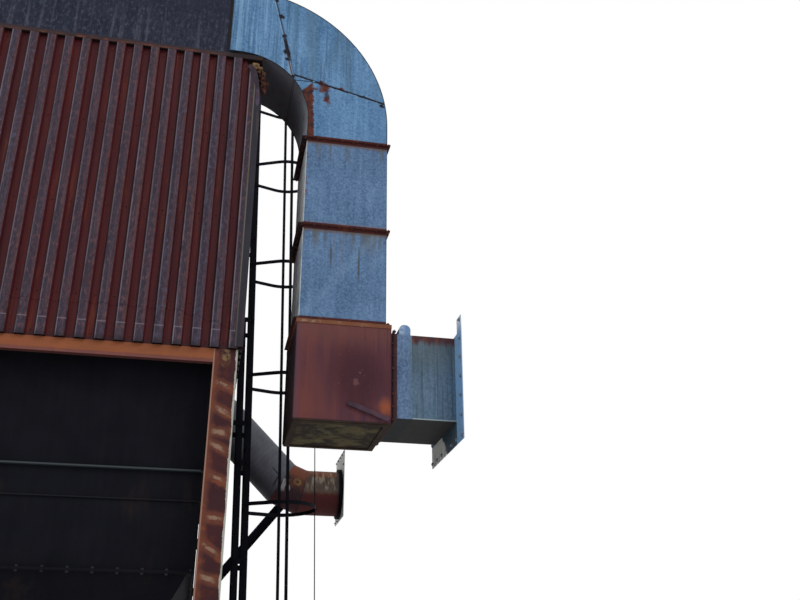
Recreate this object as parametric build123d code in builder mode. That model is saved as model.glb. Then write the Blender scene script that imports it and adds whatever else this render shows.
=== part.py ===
from build123d import *
from math import acos, atan2, cos, pi, radians, sin, sqrt, tan
import os

# Baghouse dust collector on a steel frame, with its square outlet duct, round inlet duct and caged ladder.
# Millimetres, +Z up. X runs from the casing towards the wall, Y from the outlet end towards the inlet end.
# Origin on the ground, under the centre of the outline.

# casing and frame
casing_width = 2440
casing_length = 6120
wall_gap = 1530
plate_overhang = 155
frame_top = 3962
casing_height = 2452
plenum_height = 746
beam_depth = 100
column_width = 165
column_depth = 203
column_inset = 30
frame_inset = 37.5
base_plate_x = 225
base_plate_y = 260
anchor_spacing = 100
hopper_outlet_z = 1050
hopper_mouth_inset = 245
hopper_body_height = 1484

# cladding
rib_pitch = 127
rib_crest = 62
rib_web = 10
rib_depth = 36
sheet = 2
lap_height = 263
trim_leg = 58

# clean air plenum
plenum_inset = 270
plate = 5

# square outlet
duct = 630
duct_sheet = 3
duct_front = 20
elbow_mouth = 90
elbow_below_roof = 40
elbow_inner = 560
elbow_leg = 180
section = 762
gasket = 3
angle_leg = 25
wide_leg = 42
box_height = 740
outlet_plate = 914
plate_strip = 108

# round inlet
inlet_radius = 276
inlet_entry_height = 1170
inlet_from_rear = 387.5
inlet_bend_1 = 741
inlet_bend_2 = 490
inlet_plate_width = 700
inlet_plate_height = 840

# ladder and cage
ladder_lean = 1.9
ladder_reach = 342
ladder_width = 420
ladder_above_roof = 1065
rung_pitch = 305
cage_radius = 333
cage_centre = 350
hoop_height = 36

# places worked out from these
half_x = (casing_width + wall_gap) / 2
x_left, x_right, x_wall = -half_x, casing_width - half_x, half_x
half_y = (casing_length + plate_overhang) / 2
y_front, y_rear = plate_overhang - half_y, half_y
y_mid = (y_front + y_rear) / 2
y_duct = y_front + duct_front
y_duct_mid = y_duct + duct / 2
beam_bottom = frame_top - beam_depth
lap_z = frame_top + lap_height
cladding_top = frame_top + casing_height
roof_top = cladding_top + plenum_height
elbow_centre_x = x_right - plenum_inset + elbow_mouth
elbow_centre_z = roof_top - elbow_below_roof - duct - elbow_inner
first_joint_z = elbow_centre_z - elbow_leg
inlet_entry_z = frame_top + inlet_entry_height
ladder_foot_x = x_right + ladder_reach
ladder_top = roof_top + ladder_above_roof

os.makedirs("parts", exist_ok=True)


def save(part, name):
    part.label = name
    export_step(part, f"parts/{name}.step")


# H section columns, web along Y, on square base plates
col_x = [x_left + column_inset + column_width / 2, x_right - column_inset - column_width / 2]
col_y = [y_front + frame_inset + column_depth / 2, y_mid, y_rear - frame_inset - column_depth / 2]
with BuildPart() as columns:
    with BuildSketch(Plane.XY.offset(20)):
        with Locations(*[(x, y) for x in col_x for y in col_y]):
            Rectangle(column_width, column_depth)
        with Locations(*[(x + s * column_width / 2, y) for x in col_x for y in col_y for s in (-1, 1)]):
            Rectangle(column_width - 7, column_depth - 22, mode=Mode.SUBTRACT)
    extrude(amount=frame_top - 20)
save(columns.part, "columns")

with BuildPart() as base_plates:
    with BuildSketch():
        with Locations(*[(x, y) for x in col_x for y in col_y]):
            Rectangle(base_plate_x, base_plate_y)
        with Locations(*[(x + sx * anchor_spacing / 2, y + sy * anchor_spacing / 2)
                         for x in col_x for y in col_y for sx in (-1, 1) for sy in (-1, 1)]):
            Circle(11, mode=Mode.SUBTRACT)
    extrude(amount=20)
save(base_plates.part, "base_plates")

# channels under the casing walls, webs outwards, framed between the columns
beam_z = beam_bottom + beam_depth / 2
bay = col_y[1] - col_y[0] - column_depth
with BuildPart() as side_beams:
    for y in (col_y[0] + column_depth / 2, col_y[1] + column_depth / 2):
        with BuildSketch(Plane.XZ.offset(-y)):
            for x, s in ((x_left + frame_inset, 1), (x_right - frame_inset, -1)):
                with Locations((x + s * 25, beam_z)):
                    Rectangle(50, beam_depth)
                with Locations((x + s * 31, beam_z)):
                    Rectangle(50, beam_depth - 16, mode=Mode.SUBTRACT)
        extrude(amount=-bay)
save(side_beams.part, "side_beams")

span = col_x[1] - col_x[0]
with BuildPart() as cross_beams:
    with BuildSketch(Plane.YZ.offset(col_x[0] + column_width / 2)):
        for y, s in ((y_front + frame_inset, 1), (y_rear - frame_inset, -1)):
            with Locations((y + s * 25, beam_z)):
                Rectangle(50, beam_depth)
            with Locations((y + s * 31, beam_z)):
                Rectangle(50, beam_depth - 16, mode=Mode.SUBTRACT)
    extrude(amount=span - column_width)
    with BuildSketch(Plane.YZ.offset(col_x[0] + 3.5)):
        with Locations((y_mid, beam_z)):
            Rectangle(100, beam_depth)
        with Locations((y_mid - 50, beam_z), (y_mid + 50, beam_z)):
            Rectangle(94, beam_depth - 16, mode=Mode.SUBTRACT)
    extrude(amount=span - 7)
save(cross_beams.part, "cross_beams")

# angle knee braces at 45 degrees under the middle and rear beams
brace_leg = 65
brace_rise = 780
brace_drop = brace_leg * 2 ** 0.5
with BuildPart() as knee_braces:
    for reach, y in ((3.5, y_mid + 3), (column_width / 2, y_rear - frame_inset - 2)):
        for x, s in ((col_x[0] + reach, 1), (col_x[1] - reach, -1)):
            for drop, depth in ((brace_drop, 6), (8.5, brace_leg)):
                with BuildSketch(Plane.XZ.offset(-y)):
                    Polygon((x, beam_bottom - brace_rise),
                            (x, beam_bottom - brace_rise - drop),
                            (x + s * (brace_rise + drop), beam_bottom),
                            (x + s * brace_rise, beam_bottom), align=None)
                extrude(amount=depth)
save(knee_braces.part, "knee_braces")


# casing walls stand on the beams
wall_inset = 43
wall_thick = 6
inlet_y = y_rear - inlet_from_rear
x_bend_1, x_bend_2 = x_wall - inlet_bend_1, x_wall - inlet_bend_2
z_bend_1 = inlet_entry_z - (x_bend_1 - x_right)
inlet_z = z_bend_1 - (x_bend_2 - x_bend_1) * tan(radians(22.5))
leg_plane = Plane(origin=(x_bend_1 + 100, inlet_y, z_bend_1 - 100), z_dir=(-1, 0, 1))
leg_length = (x_bend_1 - x_right + 400) * 2 ** 0.5

with BuildPart() as casing_end_walls:
    with BuildSketch(Plane.XY.offset(frame_top)):
        for y in (y_front + wall_inset + wall_thick / 2, y_rear - wall_inset - wall_thick / 2):
            with Locations(((x_left + x_right) / 2, y)):
                Rectangle(casing_width - 2 * wall_inset, wall_thick)
    extrude(amount=cladding_top - frame_top)
save(casing_end_walls.part, "casing_end_walls")

with BuildPart() as casing_side_walls:
    with BuildSketch(Plane.XY.offset(frame_top)):
        for x in (x_left + wall_inset + wall_thick / 2, x_right - wall_inset - wall_thick / 2):
            with Locations((x, y_mid)):
                Rectangle(wall_thick, casing_length - 2 * (wall_inset + wall_thick))
    extrude(amount=cladding_top - frame_top)
    with BuildSketch(leg_plane):
        Circle(inlet_radius - duct_sheet)
    extrude(amount=leg_length, mode=Mode.SUBTRACT)
save(casing_side_walls.part, "casing_side_walls")


# box rib sheet: level 0 is the outer face, 1 the face the lapped skirt touches, 2 the skirt's back
def rib_line(length, level, place):
    count = round(length / rib_pitch)
    pitch = length / count
    top = rib_crest / 2 - 1.7 * level
    crest, valley = 3 + sheet * level, 3 + rib_depth + sheet * level
    points = [place(0, valley)]
    for i in range(count):
        middle = (i + 0.5) * pitch
        points += [place(middle - top - rib_web, valley), place(middle - top, crest),
                   place(middle + top, crest), place(middle + top + rib_web, valley)]
    return points + [place(length, valley)]


def front_place(s, d):
    return (x_left + 3 + s, y_front + d)


def rear_place(s, d):
    return (x_left + 3 + s, y_rear - d)


def left_place(s, d):
    return (x_left + d, y_front + 44 + s)


def right_place(s, d):
    return (x_right - d, y_front + 44 + s)


end_length = casing_width - 6
side_length = casing_length - 88


def rib_outline(length, level, place):
    return rib_line(length, level, place) + rib_line(length, level + 1, place)[::-1]


# the top corner beside the duct is torn away along this line
torn_corner = [(x_right - back, cladding_top - down) for back, down in
               ((-12, -8), (128, -8), (110, 42), (77, 66), (46, 110), (27, 193), (6, 424), (-12, 424))]


with BuildPart() as front_cladding:
    with BuildSketch(Plane.XY.offset(lap_z - 130)):
        Polygon(*rib_outline(end_length, 0, front_place), align=None)
    extrude(amount=cladding_top - lap_z + 130)
    # the lower edge runs level, then falls towards the corner
    with BuildSketch(Plane.XZ.offset(-y_front - 100)):
        Polygon((x_left - 9, lap_z - 140), (x_right + 9, lap_z - 140), (x_right + 9, lap_z - 129.5),
                (x_right - 480, lap_z), (x_left - 9, lap_z), align=None)
        Polygon(*torn_corner, align=None)
    extrude(amount=200, mode=Mode.SUBTRACT)
save(front_cladding.part, "front_cladding")

with BuildPart() as rear_cladding:
    with BuildSketch(Plane.XY.offset(lap_z)):
        Polygon(*rib_outline(end_length, 0, rear_place), align=None)
    extrude(amount=cladding_top - lap_z)
save(rear_cladding.part, "rear_cladding")

with BuildPart() as side_cladding:
    with BuildSketch(Plane.XY.offset(lap_z)):
        Polygon(*rib_outline(side_length, 0, left_place), align=None)
    extrude(amount=cladding_top - lap_z)
    with BuildSketch(Plane.XY.offset(lap_z)):
        Polygon(*rib_outline(side_length, 0, right_place), align=None)
    extrude(amount=cladding_top - lap_z)
    with BuildSketch(leg_plane):
        Circle(inlet_radius + 3)
    extrude(amount=leg_length, mode=Mode.SUBTRACT)
save(side_cladding.part, "side_cladding")

with BuildPart() as skirt_sheets:
    for length, place in ((end_length, front_place), (end_length, rear_place),
                          (side_length, left_place), (side_length, right_place)):
        with BuildSketch(Plane.XY.offset(frame_top)):
            Polygon(*rib_outline(length, 1, place), align=None)
        extrude(amount=lap_z + 40 - frame_top)
save(skirt_sheets.part, "skirt_sheets")

with BuildPart() as corner_trims:
    with BuildSketch(Plane.XY.offset(frame_top + 13)):
        for x, sx in ((x_left, 1), (x_right, -1)):
            for y, sy in ((y_front, 1), (y_rear, -1)):
                Polygon((x, y), (x + sx * trim_leg, y), (x + sx * trim_leg, y + sy * 3), (x + sx * 3, y + sy * 3),
                        (x + sx * 3, y + sy * trim_leg), (x, y + sy * trim_leg), align=None)
    extrude(amount=cladding_top - frame_top - 75)
    with BuildSketch(Plane.XZ.offset(-y_front - 10)):
        Polygon(*torn_corner, align=None)
    extrude(amount=20, mode=Mode.SUBTRACT)
save(corner_trims.part, "corner_trims")

# deck plate over the casing, open under the plenum, and the angle that caps the cladding
deck_edge = 8
deck_top = cladding_top + 6
cap_height = 40
casing_x = (x_left + x_right) / 2
plenum_left, plenum_right = x_left + plenum_inset, x_right - plenum_inset
with BuildPart() as casing_deck:
    with BuildSketch(Plane.XY.offset(cladding_top)):
        with Locations((casing_x, y_mid)):
            Rectangle(casing_width - 2 * deck_edge, casing_length - 2 * deck_edge)
            Rectangle(casing_width - 2 * plenum_inset - 120, casing_length - 200, mode=Mode.SUBTRACT)
    extrude(amount=6)
save(casing_deck.part, "casing_deck")

with BuildPart() as cap_angles:
    with BuildSketch(Plane.XY.offset(cladding_top)):
        with Locations((casing_x, y_mid)):
            Rectangle(casing_width - 6, casing_length - 6)
            Rectangle(casing_width - 2 * deck_edge, casing_length - 2 * deck_edge, mode=Mode.SUBTRACT)
    extrude(amount=cap_height)
    with BuildSketch(Plane.XY.offset(deck_top)):
        for x in (x_left + deck_edge + 21, x_right - deck_edge - 21):
            with Locations((x, y_mid)):
                Rectangle(42, casing_length - 2 * deck_edge)
    extrude(amount=5)
save(cap_angles.part, "cap_angles")

# plenum box on the deck
wall_top = roof_top - 6
plenum_front, plenum_rear = y_front + deck_edge, y_rear - deck_edge
plenum_width = plenum_right - plenum_left
duct_top = elbow_centre_z + elbow_inner + duct
with BuildPart() as plenum_end_walls:
    with BuildSketch(Plane.XY.offset(deck_top)):
        for y in (plenum_front + plate / 2, plenum_rear - plate / 2):
            with Locations((casing_x, y)):
                Rectangle(plenum_width, plate)
    extrude(amount=wall_top - deck_top)
save(plenum_end_walls.part, "plenum_end_walls")

with BuildPart() as plenum_side_walls:
    with BuildSketch(Plane.XY.offset(deck_top)):
        for x in (plenum_left + plate / 2, plenum_right - plate / 2):
            with Locations((x, y_mid)):
                Rectangle(plate, plenum_rear - plenum_front - 2 * plate)
    extrude(amount=wall_top - deck_top)
    with BuildSketch(Plane.YZ.offset(plenum_right - 50)):
        with Locations((y_duct_mid, duct_top - duct / 2)):
            Rectangle(duct - 2 * duct_sheet, duct - 2 * duct_sheet)
    extrude(amount=100, mode=Mode.SUBTRACT)
save(plenum_side_walls.part, "plenum_side_walls")

lid_length, lid_width, lids = 1200, 1400, 4
lid_step = (plenum_rear - plenum_front) / lids
lid_y = [plenum_front + (i + 0.5) * lid_step for i in range(lids)]
with BuildPart() as plenum_roof:
    with BuildSketch(Plane.XY.offset(wall_top)):
        with Locations((casing_x, y_mid)):
            Rectangle(plenum_width, plenum_rear - plenum_front)
        with Locations(*[(casing_x, y) for y in lid_y]):
            Rectangle(lid_width - 100, lid_length - 100, mode=Mode.SUBTRACT)
    extrude(amount=6)
save(plenum_roof.part, "plenum_roof")

with BuildPart() as roof_lids:
    for y in lid_y:
        with BuildSketch(Plane.XY.offset(roof_top)):
            with Locations((casing_x, y)):
                Rectangle(lid_width, lid_length)
        extrude(amount=60)
        with BuildSketch(Plane.XY.offset(roof_top)):
            with Locations((casing_x, y)):
                Rectangle(lid_width - 8, lid_length - 8)
        extrude(amount=56, mode=Mode.SUBTRACT)
        with BuildSketch(Plane.XY.offset(roof_top + 60)):
            with Locations((casing_x - lid_width / 3, y), (casing_x + lid_width / 3, y)):
                Rectangle(20, 160)
                Rectangle(20, 120, mode=Mode.SUBTRACT)
        extrude(amount=12)
save(roof_lids.part, "roof_lids")

with BuildPart() as plenum_angles:
    with BuildSketch(Plane.XY.offset(cladding_top + cap_height)):
        for x, sx in ((plenum_left, 1), (plenum_right, -1)):
            for y, sy in ((plenum_front, 1), (plenum_rear, -1)):
                Polygon((x - sx * 3, y - sy * 3), (x + sx * 22, y - sy * 3), (x + sx * 22, y), (x, y),
                        (x, y + sy * 10), (x - sx * 3, y + sy * 10), align=None)
    extrude(amount=roof_top - cladding_top - cap_height)
save(plenum_angles.part, "plenum_angles")

# outlet elbow: straight mouth at the plenum, quarter bend, short leg down to the first joint
with BuildPart() as outlet_elbow:
    for skin, mode in ((0, Mode.ADD), (duct_sheet, Mode.SUBTRACT)):
        inner, outer = elbow_inner + skin, elbow_inner + duct - skin
        low = first_joint_z + gasket / 2
        with BuildSketch(Plane.XZ.offset(-y_duct - duct + skin)):
            with BuildLine():
                Line((plenum_right, elbow_centre_z + inner), (elbow_centre_x, elbow_centre_z + inner))
                CenterArc((elbow_centre_x, elbow_centre_z), inner, 0, 90)
                Line((elbow_centre_x + inner, elbow_centre_z), (elbow_centre_x + inner, low))
                Line((elbow_centre_x + inner, low), (elbow_centre_x + outer, low))
                Line((elbow_centre_x + outer, low), (elbow_centre_x + outer, elbow_centre_z))
                CenterArc((elbow_centre_x, elbow_centre_z), outer, 0, 90)
                Line((elbow_centre_x, elbow_centre_z + outer), (plenum_right, elbow_centre_z + outer))
                Line((plenum_right, elbow_centre_z + outer), (plenum_right, elbow_centre_z + inner))
            make_face()
        extrude(amount=duct - 2 * skin, mode=mode)
save(outlet_elbow.part, "outlet_elbow")

duct_x = elbow_centre_x + elbow_inner + duct / 2
joint_z = [first_joint_z - i * section for i in range(3)]
for name, top, foot in (("upper_duct", joint_z[0], joint_z[1]), ("lower_duct", joint_z[1], joint_z[2])):
    with BuildPart() as straight:
        with BuildSketch(Plane.XY.offset(foot + gasket / 2)):
            with Locations((duct_x, y_duct_mid)):
                Rectangle(duct, duct)
                Rectangle(duct - 2 * duct_sheet, duct - 2 * duct_sheet, mode=Mode.SUBTRACT)
        extrude(amount=section - gasket)
    save(straight.part, name)

# turning box under the drop
box_left, box_right = duct_x - duct / 2 - 15, duct_x + duct / 2 + 35
box_front, box_rear = y_duct - 20, y_duct + duct + 50
box_top = joint_z[2] - gasket / 2
box_bottom_z = box_top - box_height
box_size = (box_right - box_left, box_rear - box_front)
box_mid = ((box_left + box_right) / 2, (box_front + box_rear) / 2)
run_top = box_top - 60
run_z = run_top - duct / 2
side_joint_x = box_right + 25
with BuildPart() as junction_box:
    with BuildSketch(Plane.XY.offset(box_bottom_z)):
        with Locations(box_mid):
            Rectangle(*box_size)
            Rectangle(box_size[0] - 2 * plate, box_size[1] - 2 * plate, mode=Mode.SUBTRACT)
    extrude(amount=box_height - plate)
    with BuildSketch(Plane.YZ.offset(box_right)):
        with Locations((y_duct_mid, run_z)):
            Rectangle(duct, duct)
    extrude(amount=25 - gasket / 2)
    with BuildSketch(Plane.YZ.offset(box_right - 2 * plate)):
        with Locations((y_duct_mid, run_z)):
            Rectangle(duct - 2 * duct_sheet, duct - 2 * duct_sheet)
    extrude(amount=50, mode=Mode.SUBTRACT)
save(junction_box.part, "junction_box")

with BuildPart() as box_floor:
    with BuildSketch(Plane.XY.offset(box_bottom_z - 6)):
        with Locations(box_mid):
            Rectangle(*box_size)
    extrude(amount=6)
    with BuildSketch(Plane.XY.offset(box_bottom_z - 14)):
        with Locations(box_mid):
            Rectangle(box_size[0] - 10, box_size[1] - 10)
            Rectangle(box_size[0] - 90, box_size[1] - 90, mode=Mode.SUBTRACT)
    extrude(amount=8)
save(box_floor.part, "box_floor")

# paired angle rings at the joints; the lowest ring caps the turning box
cap_drop = 30
with BuildPart() as duct_flanges:
    for z, s in ((joint_z[0], 1), (joint_z[0], -1), (joint_z[1], 1), (joint_z[1], -1), (joint_z[2], 1)):
        for size, thick in ((duct + 2 * angle_leg, 3), (duct + 6, angle_leg)):
            with BuildSketch(Plane.XY.offset(z + s * gasket / 2)):
                with Locations((duct_x, y_duct_mid)):
                    Rectangle(size, size)
                if thick == 3:
                    with Locations((duct_x - duct / 2 - wide_leg, y_duct_mid)):
                        Rectangle(wide_leg, size, align=(Align.MIN, Align.CENTER))
                with Locations((duct_x, y_duct_mid)):
                    Rectangle(duct, duct, mode=Mode.SUBTRACT)
            extrude(amount=s * thick)
    with BuildSketch(Plane.XY.offset(box_top - plate)):
        with Locations(box_mid):
            Rectangle(box_size[0] + 10, box_size[1] + 10)
        with Locations((duct_x, y_duct_mid)):
            Rectangle(duct - 2 * duct_sheet, duct - 2 * duct_sheet, mode=Mode.SUBTRACT)
    extrude(amount=plate)
    with BuildSketch(Plane.XY.offset(box_top - cap_drop)):
        with Locations(box_mid):
            Rectangle(box_size[0] + 10, box_size[1] + 10)
            Rectangle(*box_size, mode=Mode.SUBTRACT)
    extrude(amount=cap_drop)
    for x, s in ((side_joint_x, 1), (side_joint_x, -1)):
        for size, thick in ((duct + 2 * angle_leg, 3), (duct + 6, angle_leg - gasket / 2)):
            with BuildSketch(Plane.YZ.offset(x + s * gasket / 2)):
                with Locations((y_duct_mid, run_z)):
                    Rectangle(size, size)
                    Rectangle(duct, duct, mode=Mode.SUBTRACT)
            extrude(amount=s * thick)
save(duct_flanges.part, "duct_flanges")

with BuildPart() as joint_gaskets:
    for z in joint_z:
        with BuildSketch(Plane.XY.offset(z - gasket / 2)):
            with Locations((duct_x, y_duct_mid)):
                Rectangle(duct + 2 * angle_leg - 6, duct + 2 * angle_leg - 6)
                Rectangle(duct - 2 * duct_sheet, duct - 2 * duct_sheet, mode=Mode.SUBTRACT)
        extrude(amount=gasket)
    with BuildSketch(Plane.YZ.offset(side_joint_x - gasket / 2)):
        with Locations((y_duct_mid, run_z)):
            Rectangle(duct + 2 * angle_leg - 6, duct + 2 * angle_leg - 6)
            Rectangle(duct - 2 * duct_sheet, duct - 2 * duct_sheet, mode=Mode.SUBTRACT)
    extrude(amount=gasket)
save(joint_gaskets.part, "joint_gaskets")

# slide damper spool with the hood its blade draws into, then the duct to the wall and its plate
spool_start, spool_end = side_joint_x + gasket / 2, side_joint_x + 135
hood_x, hood_width, hood_height, hood_round = side_joint_x + 40, 84, 78, 38
with BuildPart() as damper_spool:
    with BuildSketch(Plane.YZ.offset(spool_start)):
        with Locations((y_duct_mid, run_z)):
            Rectangle(duct, duct)
    extrude(amount=spool_end - spool_start)
    with BuildSketch(Plane.XZ.offset(-y_duct - duct)):
        with Locations((hood_x + hood_width / 2, run_top + hood_height / 2 - hood_round)):
            RectangleRounded(hood_width, hood_height + 2 * hood_round, hood_round)
    extrude(amount=duct)
    with BuildSketch(Plane.YZ.offset(spool_start)):
        with Locations((y_duct_mid, run_z)):
            Rectangle(duct - 2 * duct_sheet, duct - 2 * duct_sheet)
    extrude(amount=spool_end - spool_start, mode=Mode.SUBTRACT)
    with BuildSketch(Plane.XZ.offset(-y_duct - duct + 3)):
        with Locations((hood_x + hood_width / 2, run_top + hood_height / 2 - hood_round)):
            RectangleRounded(hood_width - 6, hood_height + 2 * hood_round - 6, hood_round - 3)
    extrude(amount=duct - 6, mode=Mode.SUBTRACT)
save(damper_spool.part, "damper_spool")

with BuildPart() as wall_duct:
    with BuildSketch(Plane.YZ.offset(spool_end)):
        with Locations((y_duct_mid, run_z)):
            Rectangle(duct, duct)
            Rectangle(duct - 2 * duct_sheet, duct - 2 * duct_sheet, mode=Mode.SUBTRACT)
    extrude(amount=x_wall - 6 - spool_end)
save(wall_duct.part, "wall_duct")

with BuildPart() as wall_plate:
    with BuildSketch(Plane.YZ.offset(x_wall - 6)):
        with Locations((y_front - plate_overhang + outlet_plate / 2, run_z - 20)):
            Rectangle(outlet_plate, outlet_plate)
        with Locations((y_duct_mid, run_z)):
            Rectangle(duct - 2 * duct_sheet, duct - 2 * duct_sheet, mode=Mode.SUBTRACT)
        # over the duct only a strip beside its front edge stands up
        with Locations((y_front - plate_overhang + plate_strip, run_top + 12)):
            Rectangle(outlet_plate, outlet_plate, align=Align.MIN, mode=Mode.SUBTRACT)
    extrude(amount=6)
save(wall_plate.part, "wall_plate")

# loose flat bar on the face of the turning box
bar_tilt = -20
bar_length, bar_width, bar_thick = 320, 32, 18
with BuildPart() as box_bar:
    with BuildSketch(Plane.XZ.offset(-box_front)):
        with Locations(Location((box_right - bar_length / 2, box_bottom_z + bar_length / 4), bar_tilt)):
            SlotOverall(bar_length, bar_width)
    extrude(amount=bar_thick)
save(box_bar.part, "box_bar")

# round inlet: raking leg out of the casing, one gore, then level to the wall
bend_1 = Plane(origin=(x_bend_1, inlet_y, z_bend_1), z_dir=(cos(radians(33.75)), 0, -sin(radians(33.75))))
bend_2 = Plane(origin=(x_bend_2, inlet_y, inlet_z), z_dir=(cos(radians(11.25)), 0, -sin(radians(11.25))))
gore_dir = (cos(radians(22.5)), 0, -sin(radians(22.5)))
gore_plane = Plane(origin=(x_bend_1 - 100 * gore_dir[0], inlet_y, z_bend_1 - 100 * gore_dir[2]), z_dir=gore_dir)
gore_length = (x_bend_2 - x_bend_1) / gore_dir[0] + 200
with BuildPart() as inlet_leg:
    with BuildSketch(leg_plane):
        Circle(inlet_radius)
        Circle(inlet_radius - duct_sheet, mode=Mode.SUBTRACT)
    extrude(amount=leg_length)
    split(bisect_by=bend_1, keep=Keep.BOTTOM)
    split(bisect_by=Plane.YZ.offset(x_right - wall_inset), keep=Keep.TOP)
save(inlet_leg.part, "inlet_leg")

with BuildPart() as inlet_elbow:
    with BuildSketch(gore_plane):
        Circle(inlet_radius)
        Circle(inlet_radius - duct_sheet, mode=Mode.SUBTRACT)
    extrude(amount=gore_length)
    split(bisect_by=bend_1, keep=Keep.TOP)
    split(bisect_by=bend_2, keep=Keep.BOTTOM)
save(inlet_elbow.part, "inlet_elbow")

with BuildPart() as inlet_run:
    with BuildSketch(Plane.YZ.offset(x_bend_2 - 100)):
        with Locations((inlet_y, inlet_z)):
            Circle(inlet_radius)
            Circle(inlet_radius - duct_sheet, mode=Mode.SUBTRACT)
    extrude(amount=x_wall - 6 - x_bend_2 + 100)
    split(bisect_by=bend_2, keep=Keep.TOP)
save(inlet_run.part, "inlet_run")

with BuildPart() as inlet_collar:
    with BuildSketch(Plane.YZ.offset(x_wall - 46)):
        with Locations((inlet_y, inlet_z)):
            Circle(inlet_radius + 35)
            Circle(inlet_radius, mode=Mode.SUBTRACT)
    extrude(amount=40)
save(inlet_collar.part, "inlet_collar")

with BuildPart() as inlet_wall_plate:
    with BuildSketch(Plane.YZ.offset(x_wall - 6)):
        with Locations((inlet_y, inlet_z + 80)):
            Rectangle(inlet_plate_width, inlet_plate_height)
        with Locations((inlet_y, inlet_z)):
            Circle(inlet_radius - duct_sheet, mode=Mode.SUBTRACT)
    extrude(amount=6)
save(inlet_wall_plate.part, "inlet_wall_plate")

# raking channel from the rear column to the underside of the inlet
strut_x = col_x[1] + column_width / 2
strut_y = col_y[2] - column_depth / 2 + 30
strut_rise = inlet_z - frame_top + 880
strut_dir = (strut_rise * 0.8, inlet_y + 40 - strut_y, strut_rise)
strut_foot = (strut_x - strut_dir[0] / 10, strut_y - strut_dir[1] / 10, frame_top - 912 - strut_dir[2] / 10)
with BuildPart() as inlet_bracket:
    with BuildSketch(Plane(origin=strut_foot, x_dir=(0, 1, 0), z_dir=strut_dir)):
        Rectangle(50, 110)
        with Locations((-6, 0)):
            Rectangle(50, 98, mode=Mode.SUBTRACT)
    extrude(amount=strut_rise * 1.35)
    split(bisect_by=Plane.YZ.offset(strut_x), keep=Keep.TOP)
    for along, length in ((leg_plane, leg_length), (gore_plane, gore_length)):
        with BuildSketch(along):
            Circle(inlet_radius)
        extrude(amount=length, mode=Mode.SUBTRACT)
save(inlet_bracket.part, "inlet_bracket")

# two hopper bodies hang from the beams: plain walls with stiffening bars and a bolted foot flange
outlet_size = 300
body_foot = frame_top - hopper_body_height
body_mid_gap = 75
corner_leg = 45
foot_leg = 40
stiffener_drops = (823, 1024)
mouth_x = casing_width - 2 * hopper_mouth_inset
hoppers = (("front_hopper", y_front + hopper_mouth_inset, y_mid - body_mid_gap, y_front + 50, y_mid - 1),
           ("rear_hopper", y_mid + body_mid_gap, y_rear - hopper_mouth_inset, y_mid + 1, y_rear - 50))
for name, y_low, y_high, flange_low, flange_high in hoppers:
    mouth_y = y_high - y_low
    centre = (casing_x, (y_low + y_high) / 2)
    with BuildPart() as body:
        with BuildSketch(Plane.XY.offset(frame_top)):
            with Locations((casing_x, (flange_low + flange_high) / 2)):
                Rectangle(casing_width - 100, flange_high - flange_low)
        extrude(amount=6)
        with BuildSketch(Plane.XY.offset(body_foot)):
            with Locations(centre):
                Rectangle(mouth_x, mouth_y)
            # corner legs in the planes of the end walls
            for y in (y_low + 4, y_high - 4):
                with Locations((casing_x, y)):
                    Rectangle(mouth_x + 2 * corner_leg, 8)
        extrude(amount=hopper_body_height)
        for drop, leg, thick in ((stiffener_drops[0], 30, 12), (stiffener_drops[1], 14, 8),
                                 (hopper_body_height, foot_leg, 8)):
            with BuildSketch(Plane.XY.offset(frame_top - drop)):
                with Locations(centre):
                    Rectangle(mouth_x + 2 * leg, mouth_y + 2 * leg)
            extrude(amount=thick)
        with BuildSketch(Plane.XY.offset(body_foot)):
            with Locations(centre):
                Rectangle(mouth_x - 2 * plate, mouth_y - 2 * plate)
        extrude(amount=hopper_body_height + 6, mode=Mode.SUBTRACT)
    save(body.part, name + "_body")
    with BuildPart() as hopper:
        with BuildSketch(Plane.XY.offset(body_foot - 8)):
            with Locations(centre):
                Rectangle(mouth_x + 2 * foot_leg, mouth_y + 2 * foot_leg)
        extrude(amount=8)
        for trim, mode in ((0, Mode.ADD), (2 * plate, Mode.SUBTRACT)):
            with BuildSketch(Plane.XY.offset(body_foot)):
                with Locations(centre):
                    Rectangle(mouth_x - trim, mouth_y - trim)
            with BuildSketch(Plane.XY.offset(hopper_outlet_z)):
                with Locations(centre):
                    Rectangle(outlet_size - trim, outlet_size - trim)
            loft(mode=mode)
    save(hopper.part, name)

with BuildPart() as hopper_outlets:
    for name, y_low, y_high, flange_low, flange_high in hoppers:
        centre = (casing_x, (y_low + y_high) / 2)
        with BuildSketch(Plane.XY.offset(hopper_outlet_z - 150)):
            with Locations(centre):
                Rectangle(outlet_size, outlet_size)
        extrude(amount=150)
        with BuildSketch(Plane.XY.offset(hopper_outlet_z - 150)):
            with Locations(centre):
                Rectangle(outlet_size + 100, outlet_size + 100)
        extrude(amount=10)
        with BuildSketch(Plane.XY.offset(hopper_outlet_z - 150)):
            with Locations(centre):
                Rectangle(outlet_size - 2 * plate, outlet_size - 2 * plate)
        extrude(amount=150, mode=Mode.SUBTRACT)
        with BuildSketch(Plane.XY.offset(hopper_outlet_z - 150)):
            with Locations(*[(centre[0] + sx * 175, centre[1] + sy * 175) for sx in (-1, 1) for sy in (-1, 1)]):
                Circle(8)
        extrude(amount=10, mode=Mode.SUBTRACT)
save(hopper_outlets.part, "hopper_outlets")

# ladder, leaning out at the foot; h runs up its length
lean_x = (cos(radians(ladder_lean)), 0, sin(radians(ladder_lean)))
lean_z = (-sin(radians(ladder_lean)), 0, cos(radians(ladder_lean)))
ladder_y = y_mid + 10
ladder = Plane(origin=(ladder_foot_x, ladder_y, 0), x_dir=lean_x, z_dir=lean_z)
half = ladder_width / 2
with BuildPart() as ladder_rails:
    with BuildSketch(ladder.offset(250)):
        with Locations((0, -half), (0, half)):
            Rectangle(50, 10)
    extrude(amount=ladder_top - 250)
save(ladder_rails.part, "ladder_rails")

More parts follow.
